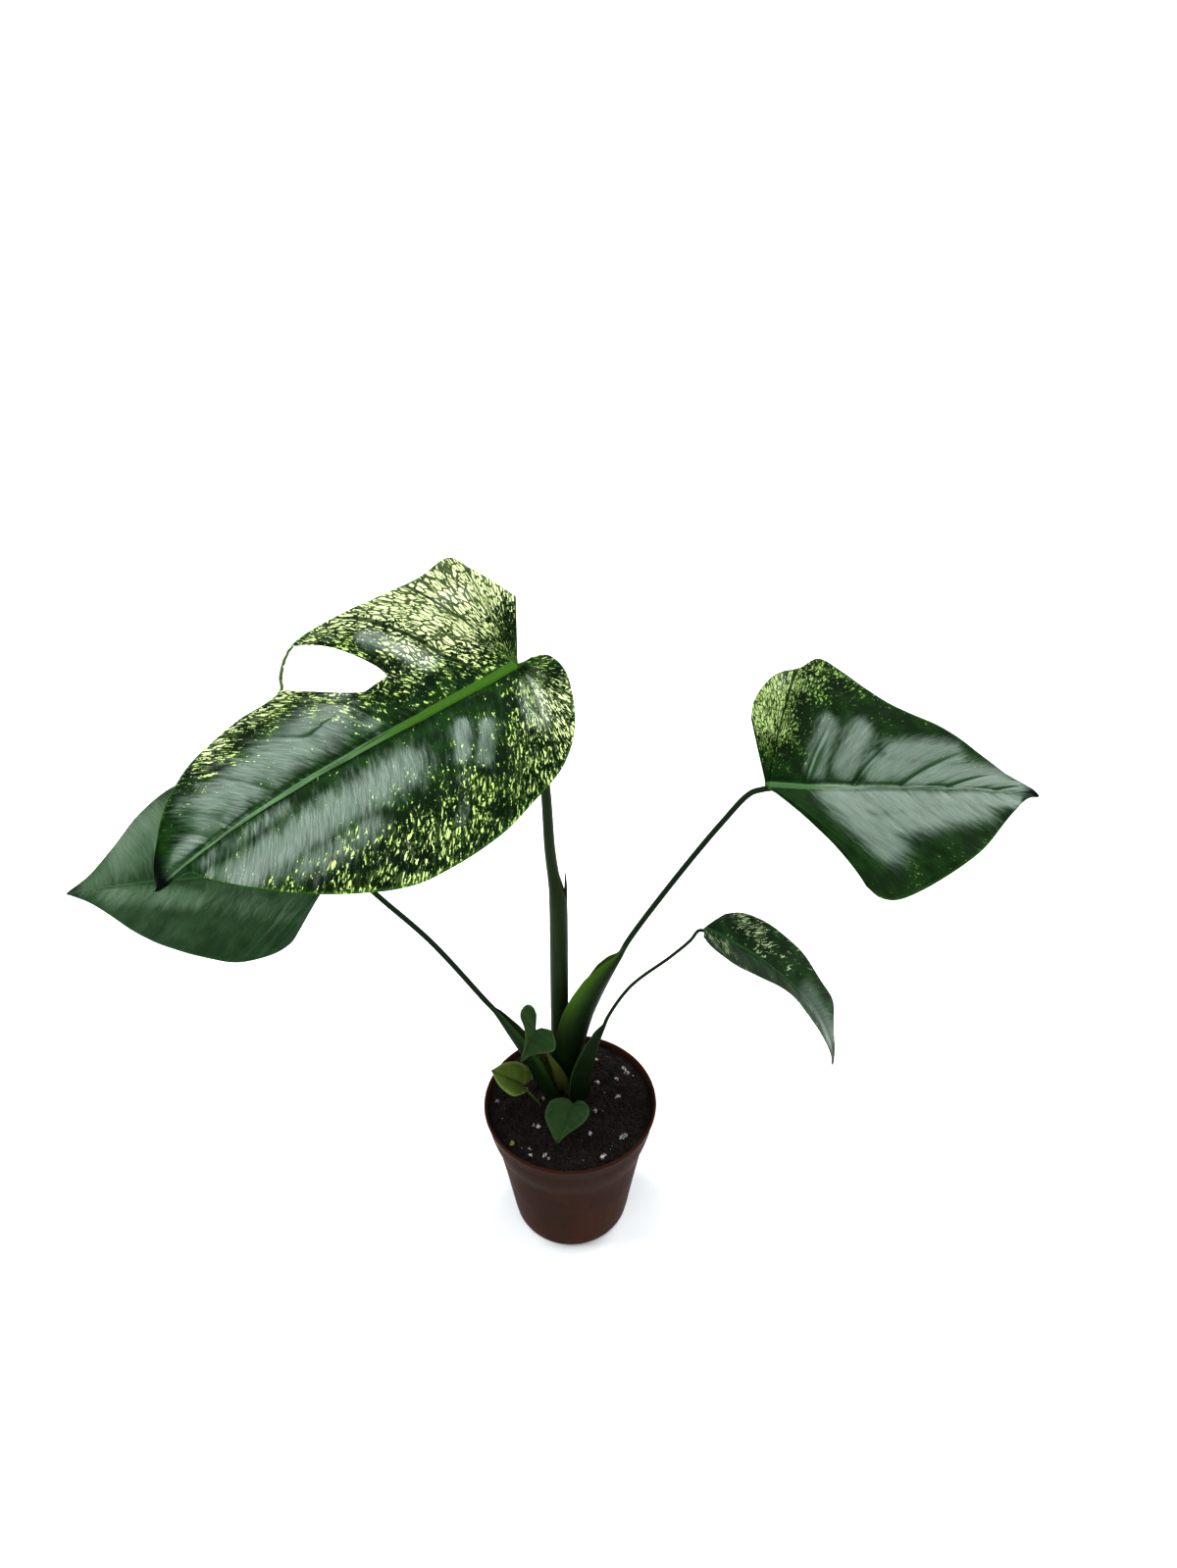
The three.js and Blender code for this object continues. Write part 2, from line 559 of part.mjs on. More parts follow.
function crownCutter() {
  const outlineSides = 28;
  const depth = 2 * (soil.top - soil.holeFloor);
  const outline = new THREE.CatmullRomCurve3(crownHole.map(vector), true, "centripetal");
  const shape = new THREE.Shape(outline.getSpacedPoints(outlineSides).map((p) => new THREE.Vector2(p.x, p.y)));
  const cutter = new THREE.ExtrudeGeometry(shape, { depth, bevelEnabled: false, steps: 1 });
  cutter.translate(0, 0, soil.holeFloor);
  return toSolid(cutter);
}

// Rootstock: an upright oval stub, tapered to its root end
function stemSolid(extra = 0) {
  const { centre, halfWidth, halfDepth, foot, top, sides } = stem;
  const profile = [[0, foot - extra], [0.45, foot - extra], [0.8, foot + 6], [1, foot + 20], [1, top - 8],
    [0.85, top - 3], [0.5, top + extra], [0, top + extra]];
  const stub = new THREE.LatheGeometry(profile.map((p) => new THREE.Vector2(...p)), sides);
  stub.rotateX(Math.PI / 2);
  stub.scale(halfWidth + extra, halfDepth + extra, 1);
  stub.translate(centre[0], centre[1], 0);
  return toSolid(stub);
}

function spurSolid({ foot, tip, radius }) {
  const [from, to] = [vector(foot), vector(tip)];
  const spur = new THREE.ConeGeometry(radius, from.distanceTo(to), 8);
  const upright = new THREE.Vector3(0, 1, 0);
  spur.applyQuaternion(new THREE.Quaternion().setFromUnitVectors(upright, to.clone().sub(from).normalize()));
  spur.translate(...from.lerp(to, 0.5).toArray());
  return toSolid(spur);
}

// Assembly
const plant = new THREE.Group();
plant.name = "potted_monstera";

function addPiece(name, solid, finish) {
  const { color, roughness } = finishes[finish];
  const material = new THREE.MeshStandardMaterial({ color, roughness, metalness: 0 });
  const mesh = new THREE.Mesh(toGeometry(solid), material);
  mesh.name = name;
  plant.add(mesh);
}

addPiece("pot", potSolid(), "pot");
addPiece("stem", stemSolid(), "stem");

for (const [name, leaf] of Object.entries(leaves)) {
  addPiece(`blade_${name}`, bladeSolid(leaf, bladeThickness), "darkLeaf");
}

// Each stalk is cut back from its own blade and from what it clasps, from the inside out
const cutters = [stemSolid(clearance)];
for (const name of ["large", "right", "left", "small"]) {
  const stalk = withJoint(stalks[name], leaves[name]);
  const steps = stalk.line.length + 6;
  let solid = stalkSolid(stalk, steps, 3);
  if (stalk.spur) solid = solid.add(spurSolid(stalk.spur));
  const own = bladeSolid(leaves[name], bladeThickness, clearance);
  addPiece(`petiole_${name}`, cutBy(solid, [...cutters, own]), "stalk");
  cutters.push(stalkSolid(stalk, steps, 3, clearance));
}

const soilCutters = [stemSolid(clearance)];
for (const [name, form] of Object.entries(seedlings)) {
  const leaf = { ...seedlingForm, ...form };
  const bend = new Bend(leaf);
  const joint = bend.place(form.stalkWidth, 0, -seedlingThickness / 2).toArray();
  const line = [...form.stalk, joint].map((p) => [...p, form.stalkWidth, 0]);
  const stalk = { line, opens: [0, -1, 0] };
  const whole = stalkSolid(stalk, line.length + 1, 1).add(bladeSolid(leaf, seedlingThickness));
  addPiece(`seedling_${name}`, cutBy(whole, cutters), name === "pale" ? "paleLeaf" : "darkLeaf");
  soilCutters.push(stalkSolid(stalk, line.length + 1, 1, clearance));
}
addPiece("soil", soilSolid(soilCutters), "soil");

export default plant;
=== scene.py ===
from math import cos, pi, radians, sin

import bpy
import numpy as np
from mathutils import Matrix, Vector


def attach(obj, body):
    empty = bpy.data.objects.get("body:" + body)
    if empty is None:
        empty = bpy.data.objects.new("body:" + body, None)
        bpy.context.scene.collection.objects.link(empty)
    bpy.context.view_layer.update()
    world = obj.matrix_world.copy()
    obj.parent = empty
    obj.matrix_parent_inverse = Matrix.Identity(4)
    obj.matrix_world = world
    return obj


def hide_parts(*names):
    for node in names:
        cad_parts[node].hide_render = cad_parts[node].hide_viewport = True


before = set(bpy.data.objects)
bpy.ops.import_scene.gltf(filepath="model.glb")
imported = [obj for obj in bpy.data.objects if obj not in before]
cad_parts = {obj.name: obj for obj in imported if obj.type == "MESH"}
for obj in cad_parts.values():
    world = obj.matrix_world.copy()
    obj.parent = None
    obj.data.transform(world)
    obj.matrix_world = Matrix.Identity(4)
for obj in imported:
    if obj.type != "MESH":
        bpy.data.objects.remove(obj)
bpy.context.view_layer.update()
print("frame loaded:", len(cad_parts), "nodes")

mm = 0.001    # the sizes below are in millimetres


# Numbers and curves

def mix(a, b, share):
    return a + (b - a) * share


def smooth(share):
    share = np.clip(share, 0, 1)
    return share * share * (3 - 2 * share)


def fullTurn(sides):
    return np.linspace(0, 2 * pi, sides, endpoint=False)


def unit(vectors):
    return vectors / np.linalg.norm(vectors, axis=-1, keepdims=True)


def byHalf(isLeft, pairs, share):
    # A value that changes along each half of a leaf
    return np.where(isLeft, *(mix(*pair, share) for pair in pairs))


class Curve:
    # A centripetal curve through points, by its parameter or by its length
    def __init__(self, points):
        p = np.array([tuple(q) + (0,) * (3 - len(q)) for q in points], float)
        self.points = np.vstack([2 * p[0] - p[1], p, 2 * p[-1] - p[-2]])
        self.spans = len(p) - 1
        self.dense = np.linspace(0, 1, 40 * self.spans + 1)
        steps = np.linalg.norm(np.diff(self.at(self.dense), axis=0), axis=1)
        self.lengths = np.concatenate([[0], np.cumsum(steps)])

    def at(self, t):
        t = np.atleast_1d(np.asarray(t, float))
        span = np.minimum((t * self.spans).astype(int), self.spans - 1)
        w = (t * self.spans - span)[:, None]
        p0, p1, p2, p3 = (self.points[span + k] for k in range(4))
        chords = p1 - p0, p2 - p1, p3 - p2
        d0, d1, d2 = (np.linalg.norm(chord, axis=1, keepdims=True)**0.5 for chord in chords)
        m1 = ((p1 - p0) / d0 - (p2 - p0) / (d0 + d1) + (p2 - p1) / d1) * d1
        m2 = ((p2 - p1) / d1 - (p3 - p1) / (d1 + d2) + (p3 - p2) / d2) * d1
        return p1 + m1 * w + (3 * (p2 - p1) - 2 * m1 - m2) * w**2 + (2 * (p1 - p2) + m1 + m2) * w**3

    def along(self, share):
        return self.at(np.interp(np.asarray(share) * self.lengths[-1], self.lengths, self.dense))

    def heading(self, t):
        step = 1e-4
        return unit(self.at(np.clip(t + step, 0, 1)) - self.at(np.clip(t - step, 0, 1)))

    def headingAlong(self, share):
        step = 1e-3
        return unit(self.along(np.clip(share + step, 0, 1)) - self.along(np.clip(share - step, 0, 1)))

    def nearest(self, point):
        shares = np.linspace(0, 1, 401)
        away = np.linalg.norm(self.along(shares)[:, :2] - np.array(point), axis=1)
        return shares[np.argmin(away)]


class Bend:
    # Bends a flat leaf along its midrib. Fold is the angle at which a half rises from the midrib, and
    # curl is how much it droops again in 100 mm, both in degrees at the base and at the tip.
    def __init__(self, leaf):
        self.leaf = leaf
        self.rib = np.array(leaf["midrib"], float)
        steps = np.diff(self.point(np.linspace(0, 1, 201)), axis=0)
        self.length = np.linalg.norm(steps, axis=1).sum()

    def point(self, t):
        a, b, c, d = self.rib
        t = np.asarray(t)[..., None]
        return a * (1 - t)**3 + 3 * b * t * (1 - t)**2 + 3 * c * t**2 * (1 - t) + d * t**3

    def heading(self, t):
        a, b, c, d = self.rib
        t = np.asarray(t)[..., None]
        return unit((b - a) * (1 - t)**2 + 2 * (c - b) * t * (1 - t) + (d - c) * t**2)

    def place(self, x, y, height):
        leaf = self.leaf
        x, y, height = np.broadcast_arrays(*(np.atleast_1d(np.asarray(n, float)) for n in (x, y, height)))
        t = np.clip(x / self.length, 0, 1)
        along = self.heading(t)
        point = self.point(t) + along * np.minimum(x, 0)[:, None]
        side = np.array(leaf["side"], float)
        across = unit(side - along * (along @ side)[:, None])
        turn = np.radians(mix(*leaf["twist"], t))[:, None]
        across = across * np.cos(turn) + np.cross(along, across) * np.sin(turn)
        upright = np.cross(along, across)
        isLeft = y >= 0
        rise = np.radians(byHalf(isLeft, leaf["fold"], t))
        droop = np.maximum(np.radians(byHalf(isLeft, leaf["curl"], t)) / 100, 1e-6)
        slope = rise - droop * np.abs(y)
        lateral = (np.sin(rise) - np.sin(slope)) / droop
        lift = (np.cos(slope) - np.cos(rise)) / droop
        tilt = np.where(y == 0, 0, slope)
        point = point + across * (np.sign(y) * (lateral - height * np.sin(tilt)))[:, None]
        return point + upright * (lift + height * np.cos(tilt))[:, None]


# Node trees

class Wire:
    # An output socket: sums written with it add Math nodes to its tree
    def __init__(self, tree, socket):
        self.tree = tree
        self.socket = socket

    def math(self, operation, *values):
        return self.tree.node("ShaderNodeMath", {"operation": operation}, values)

    def __add__(self, other):
        return self.math("ADD", self, other)

    def __radd__(self, other):
        return self.math("ADD", other, self)

    def __sub__(self, other):
        return self.math("SUBTRACT", self, other)

    def __rsub__(self, other):
        return self.math("SUBTRACT", other, self)

    def __mul__(self, other):
        return self.math("MULTIPLY", self, other)

    def __rmul__(self, other):
        return self.math("MULTIPLY", other, self)

    def __truediv__(self, other):
        return self.math("DIVIDE", self, other)

    def __rtruediv__(self, other):
        return self.math("DIVIDE", other, self)

    def __abs__(self):
        return self.math("ABSOLUTE", self)


class Tree:
    def __init__(self, tree):
        self.tree = tree
        self.tree.nodes.clear()

    def socket(self, sockets, key):
        if isinstance(key, int):
            return sockets[key]
        return next(s for s in sockets if key in (s.identifier, s.name))

    def node(self, kind, settings=None, values=(), output=0):
        node = self.tree.nodes.new(kind)
        for key, value in (settings or {}).items():
            setattr(node, key, value)
        pairs = values.items() if isinstance(values, dict) else enumerate(values)
        for key, value in pairs:
            self.feed(self.socket(node.inputs, key), value)
        return Wire(self, self.socket(node.outputs, output)) if len(node.outputs) else node

    def feed(self, socket, value):
        if isinstance(value, Wire):
            self.tree.links.new(value.socket, socket)
        else:
            socket.default_value = value

    def split(self, vector):
        apart = self.node("ShaderNodeSeparateXYZ", {}, [vector])
        return [Wire(self, socket) for socket in apart.socket.node.outputs]

    def join(self, x, y, z=0.0):
        return self.node("ShaderNodeCombineXYZ", {}, [x, y, z])

    def vector(self, operation, *values):
        output = "Value" if operation == "DOT_PRODUCT" else "Vector"
        return self.node("ShaderNodeVectorMath", {"operation": operation}, values, output)

    def step(self, value, low, high):
        return self.node("ShaderNodeMapRange", {"interpolation_type": "SMOOTHSTEP"}, [value, low, high])

    def noise(self, vector, scale, detail=2.0, roughness=0.5, distortion=0.0):
        values = {"Vector": vector, "Scale": scale, "Detail": detail, "Roughness": roughness,
                  "Distortion": distortion}
        return self.node("ShaderNodeTexNoise", {}, values)


class Finish(Tree):
    # A material: what is the same all over is set on the shader, and the rest is fed to it
    def __init__(self, name, **constants):
        self.material = bpy.data.materials.new(name)
        self.material.use_nodes = True
        super().__init__(self.material.node_tree)
        self.shader = self.tree.nodes.new("ShaderNodeBsdfPrincipled")
        output = self.tree.nodes.new("ShaderNodeOutputMaterial")
        self.tree.links.new(self.shader.outputs[0], output.inputs[0])
        for key, value in constants.items():
            self.shader.inputs[key.replace("_", " ")].default_value = value

    def attribute(self, name, output="Vector"):
        return self.node("ShaderNodeAttribute", {"attribute_name": name}, (), output)

    def place(self):
        return self.node("ShaderNodeTexCoord", {}, (), "Object")

    def blend(self, factor, a, b):
        values = {"Factor_Float": factor, "A_Color": solid(a), "B_Color": solid(b)}
        return self.node("ShaderNodeMix", {"data_type": "RGBA"}, values, "Result_Color")

    def cover(self, colour, *coats):
        # Lays colours over a colour, each with the share of the surface that it covers
        for share, coat in coats:
            colour = self.blend(share, colour, coat)
        return colour

    def bump(self, height):
        # height is in millimetres
        return self.node("ShaderNodeBump", {}, {"Height": height, "Distance": mm, "Strength": 1.0})

    def finish(self, colour, roughness, normal=None):
        self.feed(self.shader.inputs["Base Color"], solid(colour))
        self.feed(self.shader.inputs["Roughness"], roughness)
        if normal:
            self.feed(self.shader.inputs["Normal"], normal)
        return self.material


def solid(colour):
    return (*colour, 1) if isinstance(colour, tuple) else colour


# Meshes

def addObject(name, data):
    item = bpy.data.objects.new(name, data)
    bpy.context.scene.collection.objects.link(item)
    return item


def makePiece(name, points, faces, material, slot=None, replaces=(), attributes=None):
    mesh = bpy.data.meshes.new(name)
    mesh.from_pydata((points * mm).tolist(), [], faces)
    for key, values in (attributes or {}).items():
        isVector = values.ndim == 2
        layer = mesh.attributes.new(key, "FLOAT_VECTOR" if isVector else "FLOAT", "POINT")
        layer.data.foreach_set("vector" if isVector else "value", values.astype(np.float32).ravel())
    mesh.polygons.foreach_set("use_smooth", [True] * len(mesh.polygons))
    mesh.materials.append(material)
    mesh.update()
    piece = addObject(name, mesh)
    if slot:
        declare(piece, slot, *replaces)
    return piece


def declare(piece, slot, *nodes):
    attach(piece, "root")
    if nodes:
        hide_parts(*nodes)


# Camera, floor and lights

view = {"place": (0, -0.517, 0.745), "pitchDown": 35.15, "turnRight": 1.41, "focalPixels": 1150,
        "picture": (1200, 1599), "sensor": 36}


def addCamera():
    data = bpy.data.cameras.new("camera")
    data.sensor_width = view["sensor"]
    data.lens = view["sensor"] * view["focalPixels"] / view["picture"][1]
    data.clip_start = 0.01
    camera = addObject("camera", data)
    camera.location = view["place"]
    camera.rotation_euler = (radians(90 - view["pitchDown"]), 0, radians(-view["turnRight"]))
    bpy.context.scene.camera = camera


studio = {
    "floorColour": (0.9, 0.9, 0.89), "floorRoughness": 0.9, "floorHalf": 40,
    "sky": (0.94, 0.97, 1.0), "low": 0.24, "high": 0.3, "rise": (0.2, 0.9), "backdrop": 1.1, "gamma": 0.8,
    # Softboxes far away: bearing from +Y towards +X and elevation of the middle, half width and
    # half height as tangents, and radiance. edge is how softly they end, and front keeps them from
    # showing a second time in the opposite direction.
    "softboxes": [(-76, 50, 0.34, 0.36, 8), (62, 44, 0.45, 0.3, 6),
                  (-70, 80, 0.22, 0.14, 6.0), (180, 42, 1.3, 0.4, 1.5)],
    "edge": 0.06, "front": (0.1, 0.2),
}


def addStudio():
    half = studio["floorHalf"]
    corners = np.array([(-half, -half, 0), (half, -half, 0), (half, half, 0), (-half, half, 0)]) / mm
    paint = Finish("floorPaint")
    material = paint.finish(studio["floorColour"], studio["floorRoughness"])
    makePiece("floor", corners, [(0, 1, 2, 3)], material)
    world = bpy.data.worlds.new("studio")
    bpy.context.scene.world = world
    world.use_nodes = True
    sky = Tree(world.node_tree)
    towards = sky.node("ShaderNodeTexCoord", {}, (), "Generated")
    _, _, up = sky.split(towards)
    light = studio["low"] + sky.step(up, *studio["rise"]) * (studio["high"] - studio["low"])
    edge = studio["edge"] / 2
    for bearing, elevation, halfWidth, halfHeight, radiance in studio["softboxes"]:
        b, e = radians(bearing), radians(elevation)
        depth = sky.vector("DOT_PRODUCT", towards, (sin(b) * cos(e), cos(b) * cos(e), sin(e)))
        across = sky.vector("DOT_PRODUCT", towards, (cos(b), -sin(b), 0)) / depth
        above = sky.vector("DOT_PRODUCT", towards, (-sin(b) * sin(e), -cos(b) * sin(e), cos(e))) / depth
        shape = sky.step(abs(across), halfWidth + edge, halfWidth - edge)
        shape = shape * sky.step(abs(above), halfHeight + edge, halfHeight - edge)
        light = light + shape * sky.step(depth, *studio["front"]) * radiance
    seen = sky.node("ShaderNodeLightPath", {}, (), "Is Camera Ray")
    light = light + seen * (studio["backdrop"] - light)
    background = sky.node("ShaderNodeBackground", {}, [(*studio["sky"], 1), light])
    sky.node("ShaderNodeOutputWorld", {}, [background])
    bpy.context.scene.view_settings.view_transform = "Standard"
    bpy.context.scene.view_settings.gamma = studio["gamma"]


addCamera()
addStudio()
print("camera and studio ready")


# Blades. A midrib is a Bezier curve from the stalk's joint to the tip, and side points to the left
# half. Outlines run from the sinus to the tip, as x along the midrib and y across it. Values of two
# halves are in the order left, right. Patches of speckle are x, y, radius and amount, and strips of
# sheen two ends, a half width and an amount.

leafForm = {
    "twist": (0, 0), "sinusBow": (0, 0), "lean": (0, 0),
    "groove": (0.15, 0.15), "perVein": 20, "uneven": 0.25,
    "speckle": {"base": 0, "margin": 0, "patches": []},
}
leaves = {
    "large": {
        "midrib": [(-26, 30, 441), (-95, 10, 409), (-166, -20, 390), (-226, -40, 341)],
        "side": (0.35, -0.87, -0.3),
        "fold": ((4, 4), (8, 8)), "curl": ((12, 12), (6, 6)),
        "left": [(-9, 1), (-17, 6), (-21, 20), (-18, 38), (-10, 57), (5, 73), (30, 84), (54, 92), (84, 94),
                 (106, 91), (149, 69), (181, 43), (203, 18), (212, 6), (235, 0)],
        "right": [(-18, -40), (-10, -59), (-3, -74), (5, -90), (24, -88), (59, -90), (95, -89), (108, -85),
                  (119, -71), (123, -61), (150, -60), (168, -58), (188, -52), (212, -35), (230, -13),
                  (235, 0)],
        "hole": {"share": 11 / 24, "reach": 0.25, "inner": 0.36, "outer": 0.975, "strip": 1.8,
                 "start": (105, -87), "end": (123, -61),
                 "basalEdge": [(66, -34), (67.5, -41), (75, -55), (83, -67), (93, -78), (104, -85)],
                 "tipEdge": [(66, -34), (68.5, -29.5), (74, -28.5), (84, -33), (97, -42), (110, -52),
                             (120, -59.6)]},
        "fan": 0.33, "veins": 8, "perVein": 24, "quilt": 1.3, "wave": 1.2, "ridge": 3.2, "ridgeWidth": 5.5,
        "rib": (3.1, 0.9), "swell": ((1, 0.3), (0.9, 0.4)),
        "groove": (0.35, 0.35), "uneven": 0.3,
        "speckle": {"base": 0.02, "margin": 0.16, "patches": [
            (0, -66, 38, 0.9), (36, -88, 34, 0.74), (78, -90, 20, 0.4), (34, -44, 24, 0.36),
            (94, -40, 17, 0.42), (124, -60, 14, 0.3), (-4, 46, 22, 0.5), (10, 84, 18, 0.2),
            (26, 58, 22, 0.16), (62, 64, 28, 0.24), (98, 74, 24, 0.3), (-4, 24, 16, 0.4),
            (114, -80, 15, 0.93), (146, -62, 17, 0.5), (174, -50, 14, 0.5), (134, 62, 16, 0.24),
            (62, -30, 20, 0.3), (16, -20, 16, 0.3)]},
        "sheen": {"base": 0.1, "strips": [
            (190, -18, 106, -26, 18, 0.95), (96, -22, 84, -8, 6, 0.6), (182, 32, 80, 27, 15, 0.95),
            (200, 20, 188, 24, 8, 0.8), (150, 50, 110, 50, 12, 0.6), (42, 20, 50, 38, 5.5, 1),
            (30, 28, 39, 47, 5.5, 1), (-2, 18, 4, 40, 8, 0.9), (66, -66, 42, -28, 6, 0.95),
            (5, -60, 22, -64, 9, 0.45), (52, 50, 66, 74, 5, 0.35), (190, -20, 200, -30, 8, 0.6),
            (220, -5, 196, -12, 8, 0.8), (216, 7, 150, 10, 8, 0.5)]},
    },
    "left": {
        "midrib": [(-145, 50, 288), (-204, 42, 283), (-255, 24, 298), (-303, 10, 298)],
        "side": (0, -0.94, -0.34),
        "fold": ((8, 8), (8, 8)), "curl": ((14, 14), (14, 14)),
        "left": [(27, 41), (27.5, 49), (31, 55), (38, 59.5), (47, 62), (63, 63), (79, 59), (99, 51),
                 (119, 38), (147, 12), (164, 0)],
        "right": [(-3, -20), (4, -42), (18, -60), (38, -72), (60, -76), (82, -72), (98, -66), (117, -49),
                  (134, -26), (149, -9), (164, 0)],
        "fan": 0.2, "veins": 7, "quilt": 1.2, "wave": 1, "ridge": 2.2, "ridgeWidth": 4,
        "rib": (2, 0.6), "swell": ((0.5, 0.3), (0.5, 0.3)),
        "sheen": {"base": 0.12, "strips": [
            (146, -12, 104, -40, 20, 1), (138, 5, 88, 16, 10, 0.8), (80, 14, 36, 34, 16, 0.4)]},
    },
    "right": {
        "midrib": [(115, 5, 375), (170, 19, 359), (232, 37, 352), (294, 45, 335)],
        "side": (-0.25, 0.9, 0.33),
        "fold": ((16, 8), (4, 4)), "curl": ((0, 0), (18, 18)),
        "left": [(-5, 41), (-2, 52), (8, 64), (21, 73), (40, 79), (57, 87), (73, 79), (101, 58), (130, 43),
                 (160, 21), (177, 9), (188, 0)],
        "right": [(42.5, -67), (47.5, -73), (54, -75.3), (62, -74.8), (85, -67), (119, -51), (137, -39),
                  (163, -16), (178, -4), (188, 0)],
        "fan": 0.17, "veins": 7, "perVein": 22, "quilt": 1.9, "wave": 1.4, "ridge": 2.2, "ridgeWidth": 4,
        "rib": (1.8, 0.5), "swell": ((0.8, 0.3), (0.25, 0.1)),
        "sinusBow": (0, -0.14), "lean": (0.24, 0),
        "groove": (0.9, 0.25), "uneven": 0.15,
        "speckle": {"base": 0.003, "margin": 0.045, "patches": [
            (-5, 56, 22, 0.93), (12, 76, 20, 0.6), (10, 38, 20, 0.5), (38, 76, 20, 0.45), (62, 82, 20, 0.25),
            (90, 68, 18, 0.12)]},
        "sheen": {"base": 0.08, "strips": [
            (35, 12, 52, 42, 8, 0.9), (55, 12, 74, 38, 10, 0.9), (78, 13, 170, 6, 13, 1),
            (94, 24, 134, 24, 10, 1), (44, -8, 104, -12, 13, 1), (48, -14, 66, -40, 14, 1),
            (66, -28, 140, -14, 12, 0.9), (104, -10, 168, -6, 8, 1), (18, 64, 26, 70, 8, 0.4)]},
    },
    "small": {
        "midrib": [(83, -10, 280), (113, -9, 261), (171, -12, 217), (175, -15, 160)],
        "side": (0, 1, 0.09), "twist": (0, 30),
        "fold": ((14, 14), (14, 14)), "curl": ((10, 10), (10, 10)),
        "left": [(18, 16), (30, 22), (43, 25), (61, 26), (79, 24), (100, 18), (118, 17), (128, 10), (157, 0)],
        "right": [(-4, -12), (-1, -19), (7, -22), (24, -22), (49, -17), (72, -11), (106, -11), (130, -7),
                  (157, 0)],
        "fan": 0.15, "veins": 6, "quilt": 0.6, "wave": 0.7, "ridge": 1.4, "ridgeWidth": 2.6,
        "rib": (1.3, 0.4), "swell": ((1, 0.5), (1, 0.5)),
        "speckle": {"base": 0.01, "margin": 0.05, "patches": [
            (28, 18, 9, 0.28), (42, 19, 9, 0.34), (34, 10, 8, 0.14), (52, 10, 9, 0.3), (6, -12, 9, 0.3),
            (20, -12, 7, 0.2), (74, 14, 12, 0.08)]},
        "sheen": {"base": 0.12, "strips": [(94, 4, 134, 0, 8, 1), (20, 0, 80, -2, 8, 0.3)]},
    },
}
leaves = {name: {**leafForm, **leaf} for name, leaf in leaves.items()}

# noiseGap keeps the patterns of the two halves apart, and leastSpan is the shortest vein in them
bladeForm = {
    "thickness": 0.6, "veinBow": 0.14, "ridgeTaper": 0.85, "rim": 0.25, "noiseGap": 40.0, "leastSpan": 8,
}
seedlings = {
    "upright": {
        "midrib": [(-22.5, 3, 178.6), (-26, 0.5, 171), (-29, -3.5, 165), (-33.5, -5, 156)],
        "side": (0.9, -0.2, 0.1),
        "left": [(-4, 3), (-6, 10), (-1, 15), (6, 17), (12, 11), (17, 4.5), (26, 0)],
        "right": [(-11, -4), (-15, -8), (-15, -12), (-10, -14), (-5, -13), (1, -8), (8, -4), (26, 0)],
        "stalk": [(-7, 14, 105), (-14, 14, 118), (-21, 13, 135), (-24, 8, 158)],
    },
    "pale": {
        "midrib": [(-32, 2, 125), (-37, 0.5, 132), (-47, -3, 141), (-53, -3, 147)],
        "side": (0.1, -0.9, -0.35),
        "left": [(-3, 3), (4, 8), (13, 12), (22, 8), (31, 0)],
        "right": [(-8, -8), (-6, -12), (8, -14), (19, -10), (31, 0)],
        "stalk": [(-19, 1, 99), (-21, 1, 106), (-27, 2, 115), (-31, 3, 121)],
    },
    "heart": {
        "midrib": [(1.7, -14, 124), (-1, -22, 119.5), (-6.5, -31, 116), (-9, -37, 111.5)],
        "side": (0.95, -0.2, 0.1),
        "left": [(-3, 3), (-3, 7), (2, 13), (8, 12), (19, 4), (28, 0)],
        "right": [(-2, -3), (-2, -8), (1, -14), (6, -16), (14, -15), (20, -9), (28, 0)],
        "stalk": [(0, -2, 98), (0, -3, 106), (0.8, -8, 116), (1.5, -11, 120)],
    },
}
# stalkSkin is what the leaf's finish reads on the stalk, away from rib, speckle and gloss
seedlingForm = {
    "fold": ((8, 8), (8, 8)), "curl": ((10, 10), (10, 10)),
    "fan": 0.3, "veins": 3, "quilt": 0.5, "wave": 0.8, "ridge": 0.8, "ridgeWidth": 1.6, "rib": (0.7, 0.25),
    "swell": ((1, 1), (1, 1)), "groove": (0.1, 0.1), "uneven": 0.3,
    "sheen": {"base": 0.3, "strips": []}, "thickness": 0.5,
    "stalkWidth": 1.8, "stalkGrid": (40, 6), "stalkGrain": (4, 1, 1), "jointDepth": 0.4,
    "stalkSkin": {"flat": (8.0, 2, 0), "tone": (0.5, 0.1, 4), "sheen": 0.2, "face": 1.0},
}


def veinRows(leaf, count=30):
    # Shares of the way from midrib to margin, closer together at both ends
    near = [0, 0.012, 0.024, 0.037, 0.052, 0.07, 0.095, 0.125]
    even = np.linspace(0.16, 0.94, count).tolist()
    rows = near + even + [0.96, 0.975, 0.988, 1]
    if "hole" in leaf:
        fixed = [leaf["hole"]["inner"], leaf["hole"]["outer"]]
        rows = [v for v in rows if min(abs(v - f) for f in fixed) > 0.006] + fixed
    return np.array(sorted(rows))


